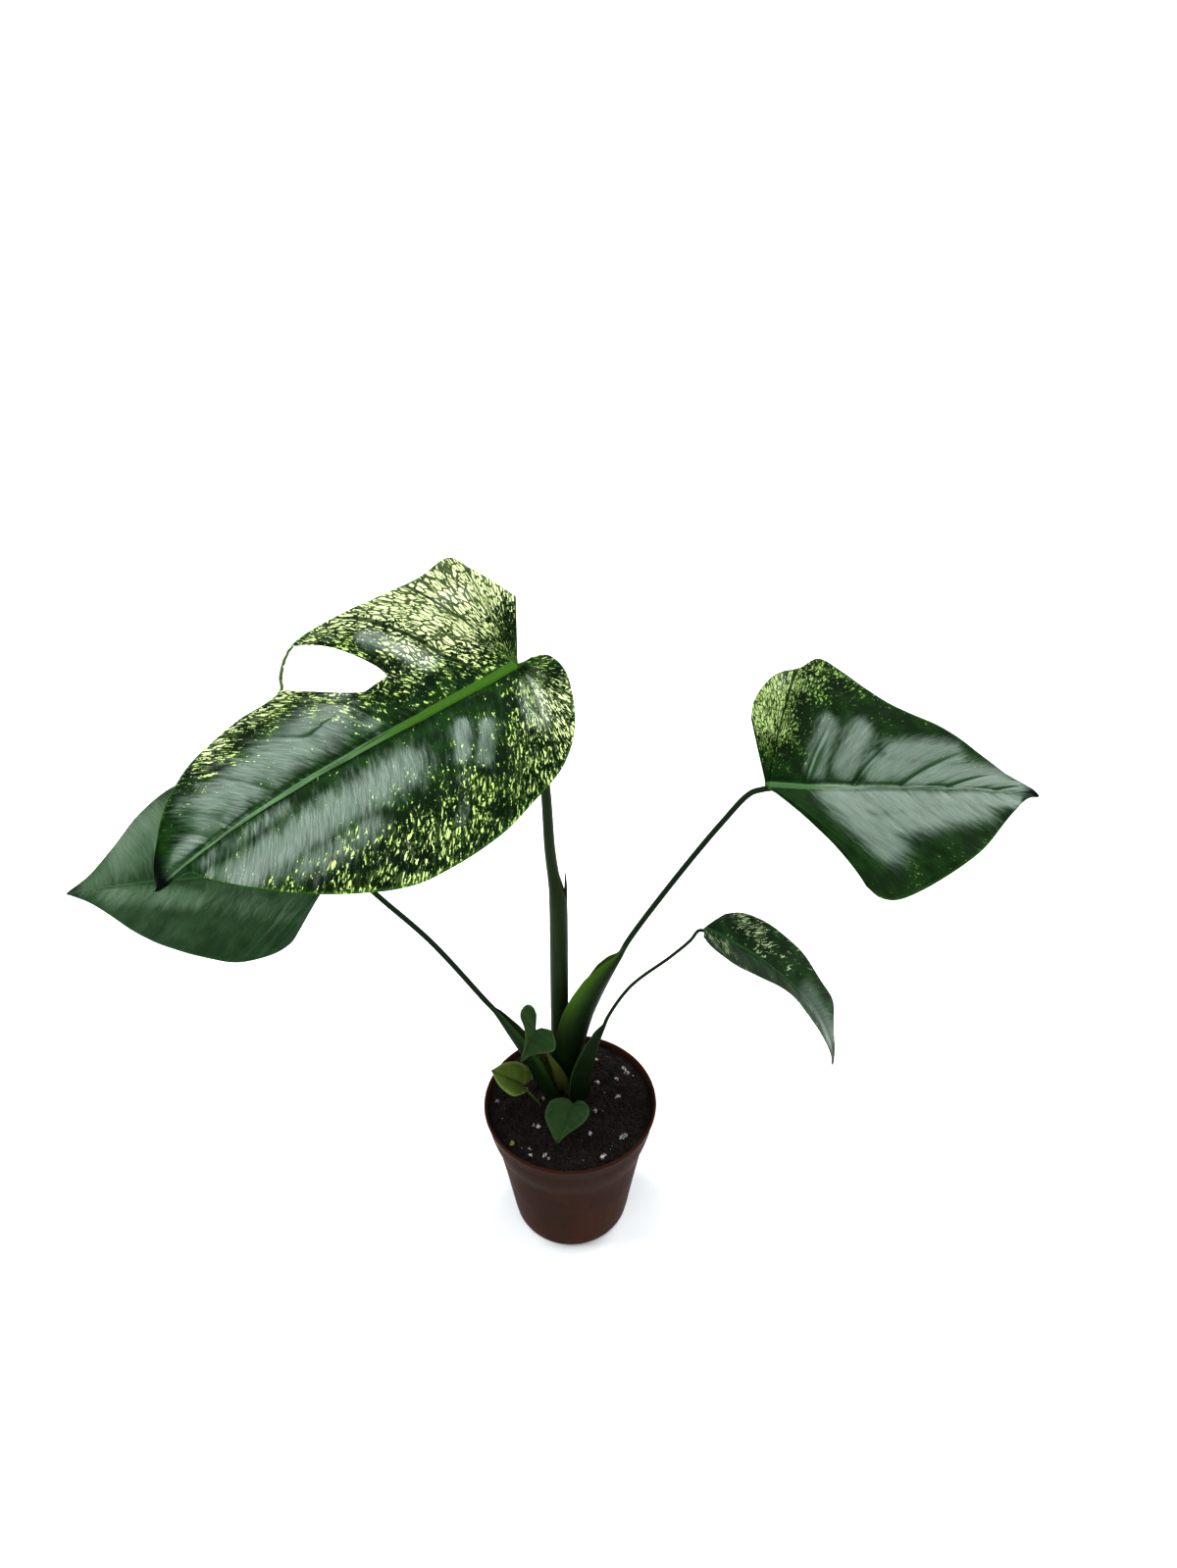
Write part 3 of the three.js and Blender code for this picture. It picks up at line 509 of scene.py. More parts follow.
def halfPatches(leaf, bend, half):
    # Grids of flat points, a column along each vein from the midrib to the margin
    columns = leaf["veins"] * leaf["perVein"]
    rows = veinRows(leaf)
    outline = Curve(leaf[half][:-1] + [(bend.length, 0)])
    fan = leaf["fan"]
    sinusBow, lean = (leaf[key][half == "right"] for key in ("sinusBow", "lean"))
    hole = leaf.get("hole") if half == "right" else None

    def veins(u, share, v):
        start = np.zeros((len(u), 3))
        start[:, 0] = bend.length * np.maximum(0, (u - fan) / (1 - fan))
        end = outline.along(share)
        bow = mix(sinusBow, bladeForm["veinBow"], smooth(u / (fan + 0.2)))
        middle = (start + end) / 2
        middle[:, 0] -= bow * np.linalg.norm(end - start, axis=1)
        start, middle, end = (p[:, None] for p in (start, middle, end))
        v = v[None, :, None]
        return start * (1 - v)**2 + 2 * middle * v * (1 - v) + end * v**2

    def grid(u, points):
        return {"flat": points[..., :2], "u": np.repeat(u[:, None], points.shape[1], 1), "v": rows,
                "reach": outline.lengths[-1]}

    u = np.arange(columns + 1) / columns
    if not hole:
        return [grid(u, veins(u, u + lean * np.sin(pi * u), rows))]

    at = round(hole["share"] * columns)

    def patch(edge, corner, u):
        share = outline.nearest(corner)
        rest = share + (u - hole["share"]) / (1 - hole["share"]) * (1 - share)
        part = np.where(u <= hole["share"] + 1e-9, u / hole["share"] * share, rest)
        edge = np.array([tuple(p) + (0,) for p in edge], float)
        rim = Curve(edge)
        margin = outline.along(share)[0]
        rib = np.array([bend.length * (hole["share"] - fan) / (1 - fan), 0, 0])
        inner, outer = hole["inner"], hole["outer"]
        target = np.where((rows <= inner)[:, None], mix(rib, edge[0], (rows / inner)[:, None]),
                          rim.along(np.clip((rows - inner) / (outer - inner), 0, 1)))
        beyond = mix(edge[-1], margin, ((rows - outer) / (1 - outer))[:, None])
        target = np.where((rows >= outer)[:, None], beyond, target)
        shift = target - veins(np.array([hole["share"]]), np.array([share]), rows)[0]
        weight = smooth(1 - np.abs(u - hole["share"]) / hole["reach"])
        return grid(u, veins(u, part, rows) + shift * weight[:, None, None])

    basal = patch(hole["basalEdge"], hole["start"], u[:at + 1])
    apical = patch(hole["tipEdge"], hole["end"], u[at:])
    return [basal, apical, marginStrip(rows, outline, hole, basal, apical)]


def marginStrip(rows, outline, hole, basal, apical, steps=24):
    # The thin strip of margin that closes the hole
    first = int(np.argmin(np.abs(rows - hole["outer"])))
    share = mix(outline.nearest(hole["start"]), outline.nearest(hole["end"]), np.linspace(0, 1, steps + 1))
    edge = outline.along(share)
    inward = unit(np.cross(outline.headingAlong(share), (0, 0, 1)))
    inside = edge - hole["strip"] * inward
    w = ((rows[first:] - rows[first]) / (1 - rows[first]))[None, :, None]
    points = mix(inside[:, None], edge[:, None], w)[..., :2]
    points[0] = basal["flat"][-1, first:]
    points[-1] = apical["flat"][0, first:]
    u = np.full(points.shape[:2], hole["share"])
    return {"flat": points, "u": u, "v": rows[first:], "reach": outline.lengths[-1]}


def weldPatches(leaf, bend):
    # Joins the patches of both halves in one flat sheet of welded points and faces
    sheets = {"flat": [], "tone": [], "grain": [], "quads": []}
    total = 0
    for half, sign in (("left", 1), ("right", -1)):
        for patch in halfPatches(leaf, bend, half):
            points = patch["flat"]
            n, m = points.shape[:2]
            v = np.repeat(patch["v"][None, :], n, 0)
            span = np.linalg.norm(points[:, -1] - points[:, 0], axis=1) / max(1 - patch["v"][0], 1e-6)
            span = np.maximum(span, bladeForm["leastSpan"])[:, None]
            grain = [patch["u"] * patch["reach"], v * span, np.full((n, m), bladeForm["noiseGap"] * sign)]
            index = total + np.arange(n * m).reshape(n, m)
            quads = np.stack([index[:-1, :-1], index[:-1, 1:], index[1:, 1:], index[1:, :-1]], 2)
            sheets["flat"].append(points.reshape(-1, 2))
            sheets["tone"].append(np.stack([patch["u"], v * sign], 2).reshape(-1, 2))
            sheets["grain"].append(np.stack(grain, 2).reshape(-1, 3))
            sheets["quads"].append(quads.reshape(-1, 4))
            total += n * m
    flat, tone, grain, quads = (np.concatenate(sheets[key]) for key in ("flat", "tone", "grain", "quads"))
    keys = np.round(flat * 1000).astype(np.int64)
    _, first, welded = np.unique(keys, axis=0, return_index=True, return_inverse=True)
    flat, tone, grain, quads = flat[first], tone[first], grain[first], welded.reshape(-1)[quads]
    flat[np.abs(flat[:, 1]) < 1e-3, 1] = 0
    p = flat[quads]
    d1, d2 = p[:, 2] - p[:, 0], p[:, 3] - p[:, 1]
    area = d1[:, 0] * d2[:, 1] - d1[:, 1] * d2[:, 0]
    quads = np.where((area < 0)[:, None], quads[:, ::-1], quads)[np.abs(area) > 1e-7]
    faces = []
    for quad in quads.tolist():
        face = [q for k, q in enumerate(quad) if q != quad[k - 1]]
        if len(face) > 2:
            faces.append(face)
    return flat, tone, grain, faces


def ribHalfWidth(leaf, bend, x):
    return mix(*leaf["rib"], np.clip(x / bend.length, 0, 1))


def upperRelief(leaf, bend, flat, tone):
    # Arches between the lateral veins, a waved margin, a raised midrib and slow unevenness
    x, y = flat.T
    u, v = tone[:, 0], np.abs(tone[:, 1])
    phase = u * leaf["veins"]
    fade = np.sin(pi * mix(0.12, 0.92, v))
    isLeft = tone[:, 1] >= 0
    swell = byHalf(isLeft, leaf["swell"], smooth(u))
    groove = np.where(isLeft, *leaf["groove"])
    fold = np.abs(phase - np.round(phase))
    height = leaf["quilt"] * swell * np.abs(np.sin(pi * phase)) * fade
    height += leaf["wave"] * np.sin(phase * 2.1 + 0.6) * v**4
    height += 0.06 * leaf["quilt"] * np.abs(np.sin(3 * pi * phase)) * fade
    height -= groove * np.exp(-(fold / 0.05)**2) * (1 - v)**1.5 * smooth(v / 0.05) * (1 - 0.6 * u)
    half = ribHalfWidth(leaf, bend, x)
    onRib = smooth((x + 3) / 6)
    height += onRib * 0.28 * half * np.exp(-(y / half)**4)
    height -= onRib * 0.16 * half * np.exp(-((np.abs(y) - 1.7 * half) / (0.6 * half))**2)
    uneven = np.sin(0.11 * x + 0.07 * y + 1) * np.sin(0.09 * y - 0.05 * x + 2)
    uneven += 0.4 * np.sin(0.23 * x - 0.19 * y)
    return height + leaf["uneven"] * uneven * smooth(v / 0.3)


def speckleDensity(leaf, x, y, tone):
    # The share of the surface that is cream
    u, v = tone[:, 0], np.abs(tone[:, 1])
    speckle = leaf["speckle"]
    density = speckle["base"] + speckle["margin"] * smooth((v - 0.6) / 0.4) * smooth((0.95 - u) / 0.2)
    for px, py, radius, amount in speckle["patches"]:
        density = density + amount * np.exp(-((x - px)**2 + (y - py)**2) / radius**2)
    return np.clip(density, 0.002, 0.93)


def sheenShare(leaf, x, y):
    # How waxy the surface is
    share = np.full(len(x), leaf["sheen"]["base"])
    for x0, y0, x1, y1, width, amount in leaf["sheen"]["strips"]:
        dx, dy = x1 - x0, y1 - y0
        t = np.clip(((x - x0) * dx + (y - y0) * dy) / (dx * dx + dy * dy), 0, 1)
        away = np.hypot(x - x0 - t * dx, y - y0 - t * dy)
        share = np.maximum(share, amount * np.exp(-(away / width)**2))
    return share


def bladeMesh(leaf, thickness):
    bend = Bend(leaf)
    flat, tone, grain, faces = weldPatches(leaf, bend)
    x, y = flat.T
    v = np.abs(tone[:, 1])
    top = upperRelief(leaf, bend, flat, tone)
    taper = 1 - bladeForm["ridgeTaper"] * np.clip(x / bend.length, 0, 1)
    keel = leaf["ridge"] * taper * np.exp(-(y / (0.45 * leaf["ridgeWidth"]))**2) * smooth((x + 5) / 6)
    ribs = 0.35 * leaf["quilt"] * np.abs(np.cos(pi * tone[:, 0] * leaf["veins"]))**24 * (1 - v)
    under = top - thickness - keel - ribs
    count = len(flat)

    edges = {}
    for face in faces:
        for a, b in zip(face, face[1:] + face[:1]):
            edges[a, b] = edges.get((a, b), 0) + 1
    rim = [(a, b) for a, b in edges if (b, a) not in edges]
    around = sorted({a for edge in rim for a in edge})
    outward = np.zeros((count, 2))
    for a, b in rim:
        step = flat[b] - flat[a]
        for end in (a, b):
            outward[end] += (step[1], -step[0])
    outward = outward[around] / np.maximum(np.linalg.norm(outward[around], axis=1, keepdims=True), 1e-9)
    swollen = flat[around] + outward * bladeForm["rim"]
    points = np.concatenate([bend.place(x, y, top), bend.place(x, y, under),
                             bend.place(*swollen.T, top[around] - thickness / 2)])
    middle = {a: 2 * count + k for k, a in enumerate(around)}
    shell = list(faces)
    shell += [[q + count for q in reversed(face)] for face in faces]
    for a, b in rim:
        shell.append([b, a, middle[a], middle[b]])
        shell.append([middle[b], middle[a], a + count, b + count])

    density = speckleDensity(leaf, x, y, tone)
    layers = {
        "flat": np.column_stack([flat, np.zeros(count)]),
        "grain": grain,
        "tone": np.column_stack([tone, 0.6 * np.log((1 - density) / density)]),
        "sheen": sheenShare(leaf, x, y),
        "face": np.ones(count),
    }
    attributes = {}
    for key, values in layers.items():
        low = -values if key == "face" else values * (key != "sheen")
        edge = values[around] * (key not in ("face", "sheen"))
        attributes[key] = np.concatenate([values, low, edge])
    return points, shell, attributes


# Leaf finish. Its grain coordinates are millimetres across the veins and along them.

leafLook = {
    "cream": (0.3, 0.45, 0.2), "fleck": (0.3, 0.45, 0.2), "net": (2.0, 4.0, 0.0), "wax": 1.0,
    "margin": (0.98, 0.3),
}
seedlingLook = {
    "stroke": (1.0, 3.0), "wobble": 2.0, "roughness": 0.5, "relief": 0.06, "swells": 1.5, "gloss": 0.12,
    "coat": 0.4, "wax": 0.3, "streak": 0.3,
}
# sheenTint is a painted sheen: a lighter green mixed into the colour where the leaf is waxy
greens = {
    "large": {"deep": (0.001, 0.005, 0.001), "mid": (0.011, 0.041, 0.007), "tinge": (0.09, 0.22, 0.03),
              "cream": (0.72, 0.80, 0.42), "fleck": (0.46, 0.58, 0.19), "rib": (0.050, 0.125, 0.014),
              "ribFar": (0.11, 0.21, 0.09), "under": (0.055, 0.115, 0.032), "sheenTint": (0.024, 0.080, 0.027),
              "stroke": (1.8, 4.6), "net": (3.0, 9.0, 0.13), "wobble": 2.4, "roughness": 0.3,
              "relief": 0.07, "swells": 0.8, "gloss": 0.02, "coat": 0.2, "streak": 0.44},
    "left": {"deep": (0.012, 0.031, 0.010), "mid": (0.024, 0.056, 0.021), "tinge": (0.04, 0.10, 0.035),
             "rib": (0.03, 0.09, 0.025), "under": (0.045, 0.095, 0.03), "sheenTint": (0.062, 0.125, 0.056),
             "stroke": (2.0, 7.0), "wobble": 5.0, "roughness": 0.42,
             "relief": 0.1, "swells": 2.0, "gloss": 0.1, "coat": 0.36, "streak": 0.35},
    "right": {"deep": (0.002, 0.008, 0.001), "mid": (0.009, 0.032, 0.005), "tinge": (0.055, 0.14, 0.02),
              "cream": (0.40, 0.50, 0.20), "fleck": (0.20, 0.32, 0.08), "rib": (0.065, 0.14, 0.05),
              "ribFar": (0.05, 0.12, 0.04), "under": (0.05, 0.105, 0.03), "sheenTint": (0.024, 0.078, 0.027),
              "stroke": (1.5, 3.4), "net": (1.7, 4.2, 0.1), "wobble": 3.0, "roughness": 0.3,
              "relief": 0.06, "swells": 0.3, "gloss": 0.02, "coat": 0.2, "streak": 0.3},
    "small": {"deep": (0.004, 0.013, 0.004), "mid": (0.022, 0.055, 0.016), "tinge": (0.09, 0.16, 0.06),
              "cream": (0.60, 0.70, 0.42), "fleck": (0.50, 0.60, 0.34), "rib": (0.03, 0.09, 0.025),
              "under": (0.045, 0.09, 0.03), "sheenTint": (0.045, 0.095, 0.045),
              "stroke": (1.3, 7.0), "net": (2.5, 9.0, 0.03), "wobble": 4.0, "roughness": 0.4,
              "relief": 0.08, "swells": 1.2, "gloss": 0.08, "coat": 0.3, "wax": 0.9, "streak": 0.4},
    "young": {**seedlingLook, "deep": (0.010, 0.026, 0.005), "mid": (0.025, 0.059, 0.013),
              "tinge": (0.055, 0.11, 0.035), "rib": (0.018, 0.05, 0.012), "under": (0.05, 0.11, 0.03),
              "sheenTint": (0.035, 0.085, 0.025), "margin": (0.9, 0.6)},
    "pale": {**seedlingLook, "deep": (0.05, 0.078, 0.012), "mid": (0.115, 0.165, 0.03),
             "tinge": (0.26, 0.34, 0.09), "rib": (0.05, 0.08, 0.015), "under": (0.1, 0.16, 0.04),
             "sheenTint": (0.08, 0.13, 0.03), "margin": (0.8, 0.6)},
}
greens = {name: {**leafLook, "ribFar": look["rib"], **look} for name, look in greens.items()}


def leafFinish(name, leaf, look):
    finish = Finish(name, Specular_IOR_Level=look["gloss"], Specular_Tint=(0.84, 1, 0.86, 1),
                    Coat_Roughness=look["coat"])
    flat, grain, tone = (finish.attribute(key) for key in ("flat", "grain", "tone"))
    face, sheen = (finish.attribute(key, "Fac") for key in ("face", "sheen"))
    x, y, _ = finish.split(flat)
    across, along, side = finish.split(grain)
    u, v, level = finish.split(tone)
    v = abs(v)
    length = Bend(leaf).length
    width, run = look["stroke"]
    across = across + (finish.noise(flat, 0.13) - 0.5) * look["wobble"]

    def veined(wide, long, shift, detail=2.0, roughness=0.5):
        # Noise drawn out along the veins
        place = finish.join(across / wide, along / long, side + shift)
        return finish.noise(place, 1.0, detail, roughness)

    def spread(noise, deviations=11):
        # Noise in standard deviations, so that a level cuts out a known share of the surface
        return (noise - 0.5) * deviations

    # Cream speckle and the lighter green round it
    strokes = spread(veined(width, run, 0.0, roughness=0.55))
    crumbs = spread(finish.noise(flat, 1.3 / width))
    clumps = spread(finish.noise(flat, 0.07))
    field = strokes * 0.82 + crumbs * 0.36 + clumps * 0.4 - level
    cream = finish.step(field, -0.06, 0.2)
    tinge = finish.step(field, -0.5, 0.1)

    # Dark lines: side veins, threads between them, and the net that parts the cream
    phase = u * leaf["veins"]
    fold = abs(phase - finish.node("ShaderNodeMath", {"operation": "ROUND"}, [phase]))
    lateral = finish.step(fold, 0.045, 0.012)
    threads = finish.step(abs(veined(2.6, 26, 9.0) - 0.5), 0.035, 0.013)
    netWidth, netRun, netLine = look["net"]
    dark = threads
    if netLine:
        place = finish.join(across / netWidth, along / netRun, side)
        net = finish.node("ShaderNodeTexVoronoi", {"feature": "DISTANCE_TO_EDGE"},
                          {"Vector": place, "Scale": 1.0}, "Distance")
        dark = 1 - (1 - threads) * finish.step(net, netLine * 0.4, netLine)
    dark = 1 - (1 - dark * 0.8) * (1 - lateral * 0.8)

    # Waxy gloss in fine streaks; the same mask also lays a painted sheen tint into the colour
    ripples = spread(veined(2.4, 14, 3.0, roughness=0.6))
    fine = finish.step(veined(0.9, 16, 5.0, roughness=0.6), 0.3, 0.7)
    streak = look["streak"]
    waxy = finish.step(sheen + ripples * streak * 0.22, 0.1, 0.9) * (1 - streak + fine * streak * 1.3)
    rich = finish.blend(finish.step(level, 0.6, -0.5), look["fleck"], look["cream"])

    # Midrib, margin and tip
    def towardsTip(start, end):
        return finish.step(x, start * length, end * length)

    wide, narrow = leaf["rib"]
    fromRib = abs(y) / (wide + (narrow - wide) * towardsTip(0, 1))
    onRib = finish.step(fromRib, 1.2, 0.9) * finish.step(x, -4.0, 1.0)
    # Painted shade: a deep green band beside the midrib, from a tenth of the way to the tip, where the blade
    # slopes away and catches no reflection
    shadeBesideRib = finish.step(fromRib, 2.3, 1.5) * towardsTip(0.1, 0.3)
    ribLines = finish.step(finish.noise(finish.join(x * 0.03, y * 1.8), 1.0), 0.45, 0.6)
    # The far midrib colour is partly the rib's own paler green and partly a painted sheen, greyer than the
    # rib's base
    ribColour = finish.cover(look["rib"], (towardsTip(0.25, 0.5), look["ribFar"]),
                             (ribLines * towardsTip(0.2, 0.4) * 0.6, look["deep"]))
    start, amount = look["margin"]
    rough = v + (finish.noise(flat, 0.9) - 0.5) * (1 - start) * 2
    margin = finish.step(rough, start, start * 0.25 + 0.75) * amount
    below = finish.step(face, 0.1, -0.1)
    under = finish.blend(onRib * 0.4 + lateral * 0.25, look["under"], look["tinge"])

    colour = finish.cover(
        look["deep"], (finish.step(clumps, -1.2, 1.2) * 0.55 + 0.45, look["mid"]),
        # painted sheen: lighter green where the leaf is waxy, standing in for its reflection
        (finish.step(level, 1.3, 0.3) * 0.7, look["deep"]), (waxy * 0.7, look["sheenTint"]),
        (tinge * 0.35, look["tinge"]), (cream * (1 - dark), rich), (dark * tinge * 0.8, look["deep"]),
        # painted shade in the band beside the midrib
        (shadeBesideRib * 0.55, look["deep"]), (onRib, ribColour), (margin, look["tinge"]),
        # painted shade: the last few hundredths of the blade towards the downturned tip go to the deep green
        (towardsTip(0.93, 0.97), look["deep"]), (below * 0.85, under))
    swells = spread(veined(11, 40, 6.0, 1.0), 9)
    micro = finish.noise(flat, 2.4) - 0.5
    height = (ripples * 0.22 + swells * look["swells"] + strokes * 0.15) * look["relief"]
    height = height + cream * 0.02 + micro * 0.03
    normal = finish.bump(height * (1 - onRib * 0.8))
    roughness = look["roughness"] + micro * 0.2 + cream * 0.08 + below * 0.25
    finish.feed(finish.shader.inputs["Coat Weight"], waxy * look["wax"])
    return finish.finish(colour, roughness, normal)


slots = {"large": "leaf_speckled", "left": "leaf_plain", "right": "leaf_glossy", "small": "leaf_streaked"}
for name, leaf in leaves.items():
    points, shell, attributes = bladeMesh(leaf, bladeForm["thickness"])
    material = leafFinish("leaf_" + name, leaf, greens[name])
    makePiece("blade_" + name + "_fine", points, shell, material, slots[name], ["blade_" + name], attributes)
    print("blade", name, len(shell), "faces")


# Stalks, from the foot up: x, y, z of the rib, its diameter, and how far each sheath wing reaches.
# opens points out of the sheath's open side.

stalks = {
    "large": {"opens": (1, 0.1, 0), "line": [
        (-7, 30, 97, 11, 0), (-7, 30, 120, 12, 0), (-6.5, 30, 175, 12.2, 0), (-6, 30, 235, 12, 0),
        (-6, 30, 268, 11.6, 0), (-7, 30, 279, 9.6, 0), (-8.7, 30, 291, 7.5, 0), (-10.5, 30, 312, 6.8, 0),
        (-12, 30, 354, 6, 0), (-15, 30, 391, 5.6, 0), (-19, 30, 414, 5.4, 0)]},
    "right": {"opens": (-0.85, 0.5, 0.3), "line": [
        (1, 22, 97, 5, 12), (5, 21, 131, 5, 18), (9, 20, 153, 4.8, 22), (14, 19, 176, 4.6, 22),
        (19, 18, 193, 4.4, 20), (24, 17, 208, 4.2, 17), (29, 16, 222, 4, 11), (33, 15, 233, 3.8, 4),
        (38, 14, 247, 3.7, 0), (64, 12, 297, 3.5, 0), (91, 10, 344, 3.4, 0), (106, 8, 367, 3.4, 0)]},
    "left": {"opens": (0.75, 0.2, 0.6), "line": [
        (-14, 10, 97, 5, 12), (-17, 11, 108, 5, 13), (-23, 14, 121, 4.8, 14), (-32, 17, 142, 4.4, 13),
        (-41, 21, 158, 4, 9), (-50, 25, 174, 3.8, 3), (-57, 28, 182, 3.7, 0), (-91, 35, 231, 3.6, 0),
        (-122, 42, 264, 3.5, 0), (-137, 47, 279, 3.5, 0)]},
    "small": {"opens": (-0.85, 0.45, 0.2), "line": [
        (11, 9, 97, 4.5, 14), (12, 8, 112, 4.3, 15), (13, 7, 130, 4, 14.5), (16, 5, 150, 3.6, 12),
        (19, 4, 166, 3.2, 8), (22.5, 2, 181, 2.6, 2.5), (26, 0, 195, 2.3, 0), (40, -3, 225, 2.1, 0),
        (64, -7, 254, 2, 0), (75, -9, 269, 2, 0)]},
}
# turn is how far each wing of a sheath goes round, in radians, and edge is its thickness there
sheath = {"turn": 1.75, "edge": 0.7, "spread": 1.6, "fleck": (0.05, 0.09, 0.025)}


def tubeFaces(rings, sides, first=0):
    # Faces of a tube of point rings, with a cap at each end
    k, i = np.meshgrid(first + np.arange(rings - 1) * sides, np.arange(sides), indexing="ij")
    nextI = (i + 1) % sides
    faces = np.stack([k + i, k + nextI, k + nextI + sides, k + i + sides], 2).reshape(-1, 4).tolist()
    last = first + (rings - 1) * sides
    return [*faces, list(range(first, first + sides))[::-1], list(range(last, last + sides))]


def stalkMesh(line, opens, steps, arcSteps):
    # Round at the top, and a channel with thin wings where it is a sheath
    line = np.array(line, float)
    path = Curve(line[:, :3])
    t = np.linspace(0, 1, steps + 1)
    marks = np.linspace(0, 1, len(line))
    width = np.interp(t, marks, line[:, 3])
    wing = np.interp(t, marks, line[:, 4])
    centre = path.at(t)
    along = path.heading(t)
    opens = np.array(opens, float)
    forward = unit(opens - along * (along @ opens)[:, None])
    sideways = np.cross(forward, along)
    sheathed = smooth(wing / width)[:, None]
    radius = (np.maximum(wing, width / 2) / sheath["turn"])[:, None]
    share = np.linspace(-1, 1, 2 * arcSteps + 1)[None]
    thick = mix(width[:, None], sheath["edge"], smooth(np.abs(share) * sheath["spread"]))
    bearing = share * arcSteps * pi / (2 * arcSteps + 1)
    angle = share * sheath["turn"]
    rings = []
    for out in (1, -1):
        reach = radius + out * thick / 2
        ahead = mix(-out * width[:, None] * np.cos(bearing) / 2, radius - reach * np.cos(angle), sheathed)
        aside = mix(width[:, None] * np.sin(bearing) / 2, reach * np.sin(angle), sheathed)
        ring = centre[:, None] + forward[:, None] * ahead[..., None] + sideways[:, None] * aside[..., None]
        rings.append(ring if out == 1 else ring[:, ::-1])
    points = np.concatenate(rings, 1)
    arc = share[0]
    grain = np.zeros(points.shape)
    grain[..., 0] = np.concatenate([arc, arc[::-1]])
    grain[..., 1] = np.interp(t, path.dense, path.lengths)[:, None]
    grain[:, len(arc):, 2] = 1
    form = np.zeros(points.shape)
    form[..., 0] = sheathed
    form[..., 1] = t[:, None]
    faces = tubeFaces(steps + 1, points.shape[1])
    return points.reshape(-1, 3), faces, {"grain": grain.reshape(-1, 3), "form": form.reshape(-1, 3)}


def withJoint(stalk, leaf):
    # The stalk's end bends in under the blade's base, into the keel of the midrib. The ends are x along
    # the midrib and the depth under the blade.
    bend = Bend(leaf)
    width = stalk["line"][-1][3]
    ends = [(-1.5, leaf["ridge"] + 2.4), (5, 0.6 * leaf["ridge"] + 0.9)]
    joint = [(*bend.place(x, 0, -depth)[0], width, 0) for x, depth in ends]
    return stalk["line"] + joint


# Shares across the sheath where the wing's colour starts and is full, along the stalk where it comes
# in, and along the stalk where the inside's colour goes out
stalkLooks = {
    "large": {"deep": (0.008, 0.019, 0.003), "lit": (0.022, 0.044, 0.007), "wing": (0.03, 0.07, 0.01),
              "inside": (0.03, 0.06, 0.012), "edge": (0.5, 0.95), "rise": (0.0, 0.2), "low": (0.5, 0.3)},
    "right": {"deep": (0.005, 0.015, 0.003), "lit": (0.012, 0.030, 0.005), "wing": (0.065, 0.155, 0.010),
              "inside": (0.05, 0.12, 0.012), "edge": (0.3, 1.05), "rise": (0.13, 0.32), "low": (0.6, 0.3)},
    "left": {"deep": (0.006, 0.017, 0.004), "lit": (0.014, 0.033, 0.007), "wing": (0.03, 0.085, 0.010),
             "inside": (0.11, 0.13, 0.02), "edge": (0.6, 0.95), "rise": (0.15, 0.3), "low": (0.45, 0.15)},
    "small": {"deep": (0.005, 0.015, 0.003), "lit": (0.011, 0.027, 0.006), "wing": (0.05, 0.10, 0.025),
              "inside": (0.03, 0.06, 0.012), "edge": (0.88, 1.0), "rise": (0.0, 0.1), "low": (0.5, 0.3)},
}


def stalkFinish(name, look):
    finish = Finish(name, Specular_IOR_Level=0.1)
    share, travelled, inside = finish.split(finish.attribute("grain"))
    sheathed, t, _ = finish.split(finish.attribute("form"))
    lines = finish.noise(finish.join(share * 22, travelled * 0.03, inside * 9), 1.0, 3.0, 0.6)
    cloud = finish.noise(finish.join(share * 2, travelled * 0.05, inside * 9), 1.0, 2.0)
    # The wing colour is partly the sheath's own paler green and partly painted light shining through the thin
    # wing
    wing = finish.step(abs(share), *look["edge"]) * sheathed * finish.step(t, *look["rise"])
    low = inside * sheathed * finish.step(t, *look["low"])
    flecks = finish.noise(finish.join(share * 30, travelled * 0.6, inside * 9), 1.0, 1.0)
    colour = finish.cover(
        look["deep"], (finish.step(lines, 0.35, 0.7) * 0.7 + cloud * 0.2, look["lit"]),
        (wing * 0.85, look["wing"]), (low * 0.8, look["inside"]),
        (finish.step(flecks, 0.66, 0.74) * 0.25, sheath["fleck"]))
    height = (lines - 0.5) * 0.25 + (flecks - 0.5) * 0.04
    return finish.finish(colour, 0.42 + (cloud - 0.5) * 0.2, finish.bump(height))


def addTongue(points, faces, attributes, tip, sides=16, steps=14):
    # A small pointed tongue that stands free of the stalk
    foot, end = np.array(tip["foot"], float), np.array(tip["end"], float)
    ahead, aside = np.eye(3)[:2]
    turn = fullTurn(sides)
    rings = []
    for k in range(steps + 1):
        t = k / steps
        swell = (1 - t)**0.8 * mix(tip["waist"], 1, float(smooth(2.5 * t)))
        centre = mix(foot, end, t) + ahead * tip["bow"] * sin(pi * t)
        rx, ry = (radius * swell + 0.12 for radius in tip["radii"])
        rings.append(centre + rx * np.cos(turn)[:, None] * ahead + ry * np.sin(turn)[:, None] * aside)
    tongue = np.concatenate(rings)
    faces = faces + tubeFaces(steps + 1, sides, len(points))
    inside = np.full(len(tongue), tip["form"][0])
    grain = np.column_stack([np.tile(turn / pi, steps + 1), tongue[:, 2], inside])
    attributes = {"grain": np.concatenate([attributes["grain"], grain]),
                  "form": np.concatenate([attributes["form"], np.tile(tip["form"], (len(tongue), 1))])}
    return np.concatenate([points, tongue]), faces, attributes


